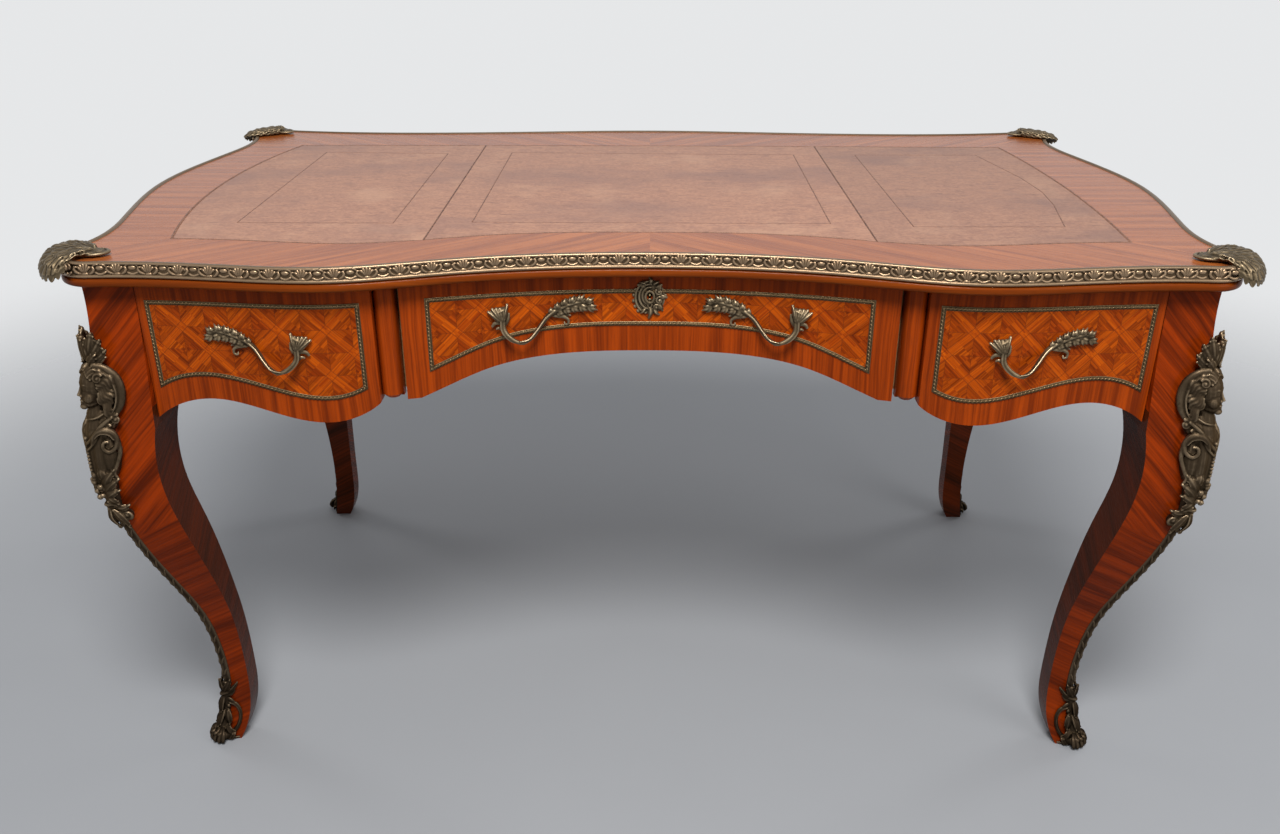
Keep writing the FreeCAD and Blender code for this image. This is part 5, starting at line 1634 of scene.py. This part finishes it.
        # plume of fluted leaves
        clay.flame(line((5, 8, 647), (13, 11, 654), (23, 11, 664)), 6.8, facing, 3.4)
        clay.flame(line((4, 8, 650), (10, 12, 664), (17, 12, 677)), 7.8, facing, 3.4)
        clay.flame(line((2, 8, 656), (5, 13, 672), (8, 13, 686)), 7.6, facing, 3.0)
        clay.flame(line((1, 10, 646), (7, 15, 655), (13, 16, 661)), 4.6, facing, 3.6)
    clay.rope([(-6, 0, 638), (-4, 0, 650), (-3, 0, 660), (0, 0, 674)], [9, 7.5, 9, 6.5], facing=(1, 0, 0),
              sides=12)
    clay.rope([(-4, 9, 650.5), (4.4, 0, 650), (-4, -9, 650.5)], [1.8, 2.2, 1.8], facing=(0, 0, 1))
    clay.flame([(2, 0, 648), (8, 0, 660), (10, 0, 671), (11, 0, 680)], 9.0, (1, 0, 0), 2.6)
    for k in range(11):  # beads down the front
        clay.ball((11.4 - 0.15 * k, 0, 547 - 5.0 * k), (2.4, 2.6, 2.4), 9, 7)
    for k in range(8):  # tassels of fruit on the arris
        clay.ball((9.0 + rng.uniform(-1, 1.5), rng.uniform(-4, 4), 494 - 4.6 * k), rng.uniform(3.0, 4.2),
                  9, 7)
    clay.rope([(-4, 11, 449), (7, 0, 447), (-4, -11, 449)], [2.2, 2.6, 2.2], facing=(0, 0, 1), count=20)
    clay.ball((-3, 0, 428), (10, 12, 13), 14, 10)
    clay.flame([(5, 0, 441), (8.5, 0, 426), (3, 0, 408)], 5.2, (1, 0, 0), 3.0)
    return clay.fire("bustMountFrontRight", look["voxel"])


# strip of leaves and beads down the arris
stripLook = {"pitch": 0.0205, "low": 94.0, "high": 414.0, "stations": 60}


def makeStrip():
    look = stripLook
    heights = np.linspace(look["low"], look["high"], look["stations"])
    line = np.array([legPlace(0.0, 0.0, z) for z in heights])
    out = np.array(outward)
    along = unit(np.gradient(line, axis=0))
    facing = unit(out - along * np.sum(along * out, axis=1)[:, None])
    profile = [(-6.6, -6.4), (-5.6, -4.2), (-3.4, -1.6), (-1.4, 1.2), (0, 2.0), (1.4, 1.2), (3.4, -1.6),
               (5.6, -4.2), (6.6, -6.4), (0, -3.0)]
    base = sweep("strip", line, facing, [(a * mm, b * mm) for a, b in profile])
    clay = Clay(inMm)
    clay.rope([(0, -8.5, 0.9), (0, -1, 1.5), (0, 7, 0.9)], [1.0, 2.4, 1.0], 0.8, sides=6, count=7)
    clay.ball((0, 9.8, 0.9), (1.7, 1.7, 1.7), 7, 5)
    for s in (-1, 1):
        clay.rope([(0, -7, 1.0), (s * 3.0, -2, -0.2), (s * 4.0, 3, -1.8), (s * 5.8, 7, -3.6)],
                  [0.9, 1.8, 1.7, 0.7], sides=6, count=7)
    leaf = clay.raw("stripUnit")
    units = layUnits("stripUnits", [(line, facing, along, False)], look["pitch"], leaf, shoeBronze)
    dropShape(leaf)
    return joined("legStripFrontRight", base, units)


# shoe: a bound leaf round the ankle, an open scroll on each face and a curled leafy toe
sabotLook = {"voxel": 0.0008, "sole": 0.0012}


def makeSabot():
    clay = Clay(legPlace)
    clay.rope([(-1, 0, 97), (1.5, 0, 84), (0.5, 0, 66), (0, 0, 44), (2, 0, 26), (5, 0, 12)],
              [5, 6.2, 5.4, 5.6, 7.5, 9.5], facing=(0, 1, 0), sides=14, count=34)
    for s in (-1, 1):
        facing = onFace(0, 1, 0, s)

        def line(*points):
            return faceLine(s, *points)

        clay.rope(line((-1, 3, 79), (7, 4.5, 84), (15, 3.5, 92), (19, 2, 98)), [3.0, 4.2, 3.4, 1.4], 0.6,
                  facing, 10, 20)
        clay.rope(line((2, 4.5, 81), (8, 6.6, 86), (17, 4.2, 96)), [0.9, 1.1, 0.6], 1, facing, 7, 16)
        clay.rope(line((-1, 3, 74), (8, 3.8, 77), (14, 3.0, 84)), [2.0, 2.8, 1.2], 0.7, facing, 9, 14)
        clay.rope(line((1, 3, 70), (8, 3.2, 66), (13, 2.4, 60)), [2.6, 3.0, 1.6], 0.7, facing, 9, 14)
        # open scroll with the wood showing inside
        clay.rope(line((3, 2.5, 62), (13, 2.4, 60), (20, 2.2, 50), (22.5, 2.2, 36), (20, 2.4, 21),
                       (12, 3.2, 10), (3, 4.5, 5)), [2.6, 3.0, 3.0, 3.0, 3.2, 4.2, 5.0], 0.75, facing, 10,
                  44)
        clay.rope(line((5, 5, 62), (14, 4.6, 58), (21, 4.2, 46), (22, 4.2, 31), (17, 4.8, 16)),
                  [0.8, 1.1, 1.1, 1.1, 0.8], 1, facing, 7, 34)
        for z, f in ((58, 6.5), (50, 7.5), (42, 8.0), (34, 8.5), (26, 9.0)):
            clay.rope(line((0, 3, z), (f * 0.6, 4.4, z - 1), (f, 2.4, z - 5)), [2.2, 2.6, 1.2], 0.8,
                      facing, 8, 12)
        for f, z, thick in ((4, 8, 4.4), (9, 6.5, 4.0), (14, 5.5, 3.4), (18, 5, 2.6)):
            clay.rope(line((f, 4, 24 - f * 0.5), (f + 1, 8, z + 8), (f - 1.5, 8.5, z - 1)),
                      [1.6, thick * 0.7, thick * 0.55], 0.85, facing, 8, 14)
        clay.flame(line((3, 5, 50), (6, 8, 40), (9, 6, 28)), 4.6, facing, 3.0)
        clay.flame(line((2, 5, 26), (9, 9, 19), (17, 6, 12)), 4.8, facing, 3.2)
        clay.flame(line((-1, 6, 84), (5, 7.5, 94), (10, 5, 105)), 4.0, facing, 2.4)
        clay.rope(line((8, 4.4, 3.5), (18, 2.6, 3.0), (26, 0.4, 2.6)), [3.4, 2.6, 1.6], 0.8, facing, 9, 16)
    clay.ball((3, 0, 10), (13, 15, 10.5), 16, 10)
    clay.rope([(-4, 9.5, 82), (8.4, 0, 79), (-4, -9.5, 82)], [2.0, 2.4, 2.0], facing=(0, 0, 1), count=20)
    clay.flame([(5, 0, 83), (7.5, 0, 94), (7, 0, 106)], 4.6, (1, 0, 0), 2.2)
    clay.flame([(5, 0, 74), (9, 0, 62), (8.5, 0, 47)], 6.2, (1, 0, 0), 3.4)
    clay.flame([(5, 0, 50), (10, 0, 38), (12, 0, 25)], 7.0, (1, 0, 0), 4.0)
    for s in (-0.95, -0.6, -0.2, 0.2, 0.6, 0.95):
        turn = s * 1.25
        far, wide = math.cos(turn), math.sin(turn)
        clay.rope([(6, 6 * s, 24), (7 + 9 * far, 17 * wide, 17), (5 + 12 * far, 18 * wide, 9),
                   (3 + 9 * far, 15 * wide, 3.4)], [1.8, 3.0, 3.4, 2.4], 0.9, (1, 0, 0.3), 9, 20)
        clay.ball((6 + 11 * far, 15.5 * wide, 18), (3.4, 3.4, 3.0), 9, 7)
    clay.points = [(x, y, max(z, sabotLook["sole"])) for x, y, z in clay.points]
    return clay.fire("sabotFrontRight", sabotLook["voxel"])


makeTooling()
print("leather tooling")
makeHandles()
makeEscutcheon()
print("handles and keyhole mount")
fourCorners(makeCorner(), "cornerMount", cornerBronze, "corner_mount_")
print("corner mounts")
fourCorners(makeBust(), "bustMount", legBronze, "bust_mount_")
fourCorners(makeSabot(), "sabot", shoeBronze, "sabot_")


def makeStrips():
    master = makeStrip()
    strips = [mirrored(master, "copy", flipX, flipY, middleY) for flipX, flipY in corners.values()]
    dropShape(master)
    settle(joined("legStrips", *strips), "carcass", "aged_bronze", shoeBronze, "leg_edge_strips")


makeStrips()
print("leg mounts")

# the room: a pale round floor that fades into a pale backdrop, with soft light from above and in front
roomLook = {"radius": 9.0, "sides": 96, "stainScale": 2.2, "stainShare": 0.3, "fadeFrom": 1.1,
            "fadeTo": 2.9, "floor": (0.32, 0.335, 0.36, 1), "stain": (0.25, 0.26, 0.28, 1),
            "backdrop": (0.79, 0.80, 0.81, 1), "sky": (0.94, 0.96, 1.0, 1), "skyStrength": 0.28,
            "lampTint": (1.0, 0.98, 0.95)}
backLamp = {"aim": (0, 0, 0.5), "size": 1.4, "watts": 34, "gleam": False}
lamps = {"key": {"spot": (0.05, -1.95, 3.0), "aim": (0, 0, 0.55), "size": 1.1, "watts": 108},
         "fill": {"spot": (2.5, -1.9, 1.9), "aim": (0.2, 0, 0.5), "size": 2.0, "watts": 22},
         "top": {"spot": (0.0, 0.9, 3.0), "aim": (0, 0.1, 0.7), "size": 2.6, "watts": 10},
         "backLeft": {"spot": (-3.7, 1.9, 1.6), **backLamp},
         "backRight": {"spot": (3.7, 1.9, 1.6), **backLamp}}


def makeRoom():
    look = roomLook
    turns = np.linspace(0, 2 * math.pi, look["sides"], endpoint=False)
    rim = [(look["radius"] * math.cos(a), look["radius"] * math.sin(a), 0.0) for a in turns]
    floor = meshPiece("roomFloor", rim, [tuple(range(look["sides"]))])
    material, tree, shader = newMaterial("palePaint", Roughness=0.62)
    spot = objectSpot(tree)
    shade = times(tree, noise(tree, spot, look["stainScale"], 5.0, 0.6), look["stainShare"])
    tree.links.new(mixed(tree, shade, look["floor"], look["stain"]), shader.inputs["Base Color"])
    away = put(tree, "ShaderNodeVectorMath", {"operation": "LENGTH"}, _0=spot).outputs["Value"]
    clear = put(tree, "ShaderNodeBsdfTransparent").outputs[0]
    faded = put(tree, "ShaderNodeMixShader", _0=ramp(tree, away, look["fadeFrom"], look["fadeTo"]),
                _1=shader.outputs[0], _2=clear)
    tree.links.new(faded.outputs[0], tree.nodes["Material Output"].inputs["Surface"])
    floor.data.materials.append(material)


def makeLamp(name, look):
    data = bpy.data.lights.new(name, "AREA")
    data.shape = "DISK"
    data.size = look["size"]
    data.energy = look["watts"]
    data.color = roomLook["lampTint"]
    lamp = bpy.data.objects.new(name, data)
    lamp.location = look["spot"]
    lamp.rotation_euler = (Vector(look["aim"]) - Vector(look["spot"])).to_track_quat("-Z", "Y").to_euler()
    lamp.visible_camera = False
    lamp.visible_glossy = look.get("gleam", True)  # the back lamps leave no glare on the polished top
    scene.collection.objects.link(lamp)


def makeSky():
    world = bpy.data.worlds.new("softSky")
    scene.world = world
    world.use_nodes = True
    tree = world.node_tree
    sky = tree.nodes["Background"]
    sky.inputs["Color"].default_value = roomLook["sky"]
    sky.inputs["Strength"].default_value = roomLook["skyStrength"]
    backdrop = put(tree, "ShaderNodeBackground", Color=roomLook["backdrop"], Strength=1.0)
    rays = put(tree, "ShaderNodeLightPath").outputs
    indirect = maths(tree, "MAXIMUM", rays["Is Glossy Ray"], rays["Is Transmission Ray"])
    seen = maths(tree, "MAXIMUM", rays["Is Camera Ray"], indirect)
    both = put(tree, "ShaderNodeMixShader", _0=seen, _1=sky.outputs[0], _2=backdrop.outputs[0])
    tree.links.new(both.outputs[0], tree.nodes["World Output"].inputs["Surface"])


cameraLook = {"spot": (-0.0027, -1.6919, 1.1741), "pitch": 25.045, "yaw": 0.405, "roll": 0.109,
              "lensPixels": 1109.2, "imageWidth": 1280, "sensor": 36.0}


def makeCamera():
    look = cameraLook
    data = bpy.data.cameras.new("photoCamera")
    data.sensor_width = look["sensor"]
    data.lens = look["sensor"] * look["lensPixels"] / look["imageWidth"]
    camera = bpy.data.objects.new("photoCamera", data)

    def turned(degrees, axis):
        return Matrix.Rotation(math.radians(degrees), 4, axis)

    turn = turned(look["yaw"], "Z") @ turned(90 - look["pitch"], "X") @ turned(look["roll"], "Z")
    camera.matrix_world = Matrix.Translation(look["spot"]) @ turn
    scene.collection.objects.link(camera)
    scene.camera = camera


makeRoom()
makeSky()
for lampName, lampLook in lamps.items():
    makeLamp(lampName, lampLook)
makeCamera()
scene.view_settings.view_transform = "Standard"
print("room, lamps and camera")
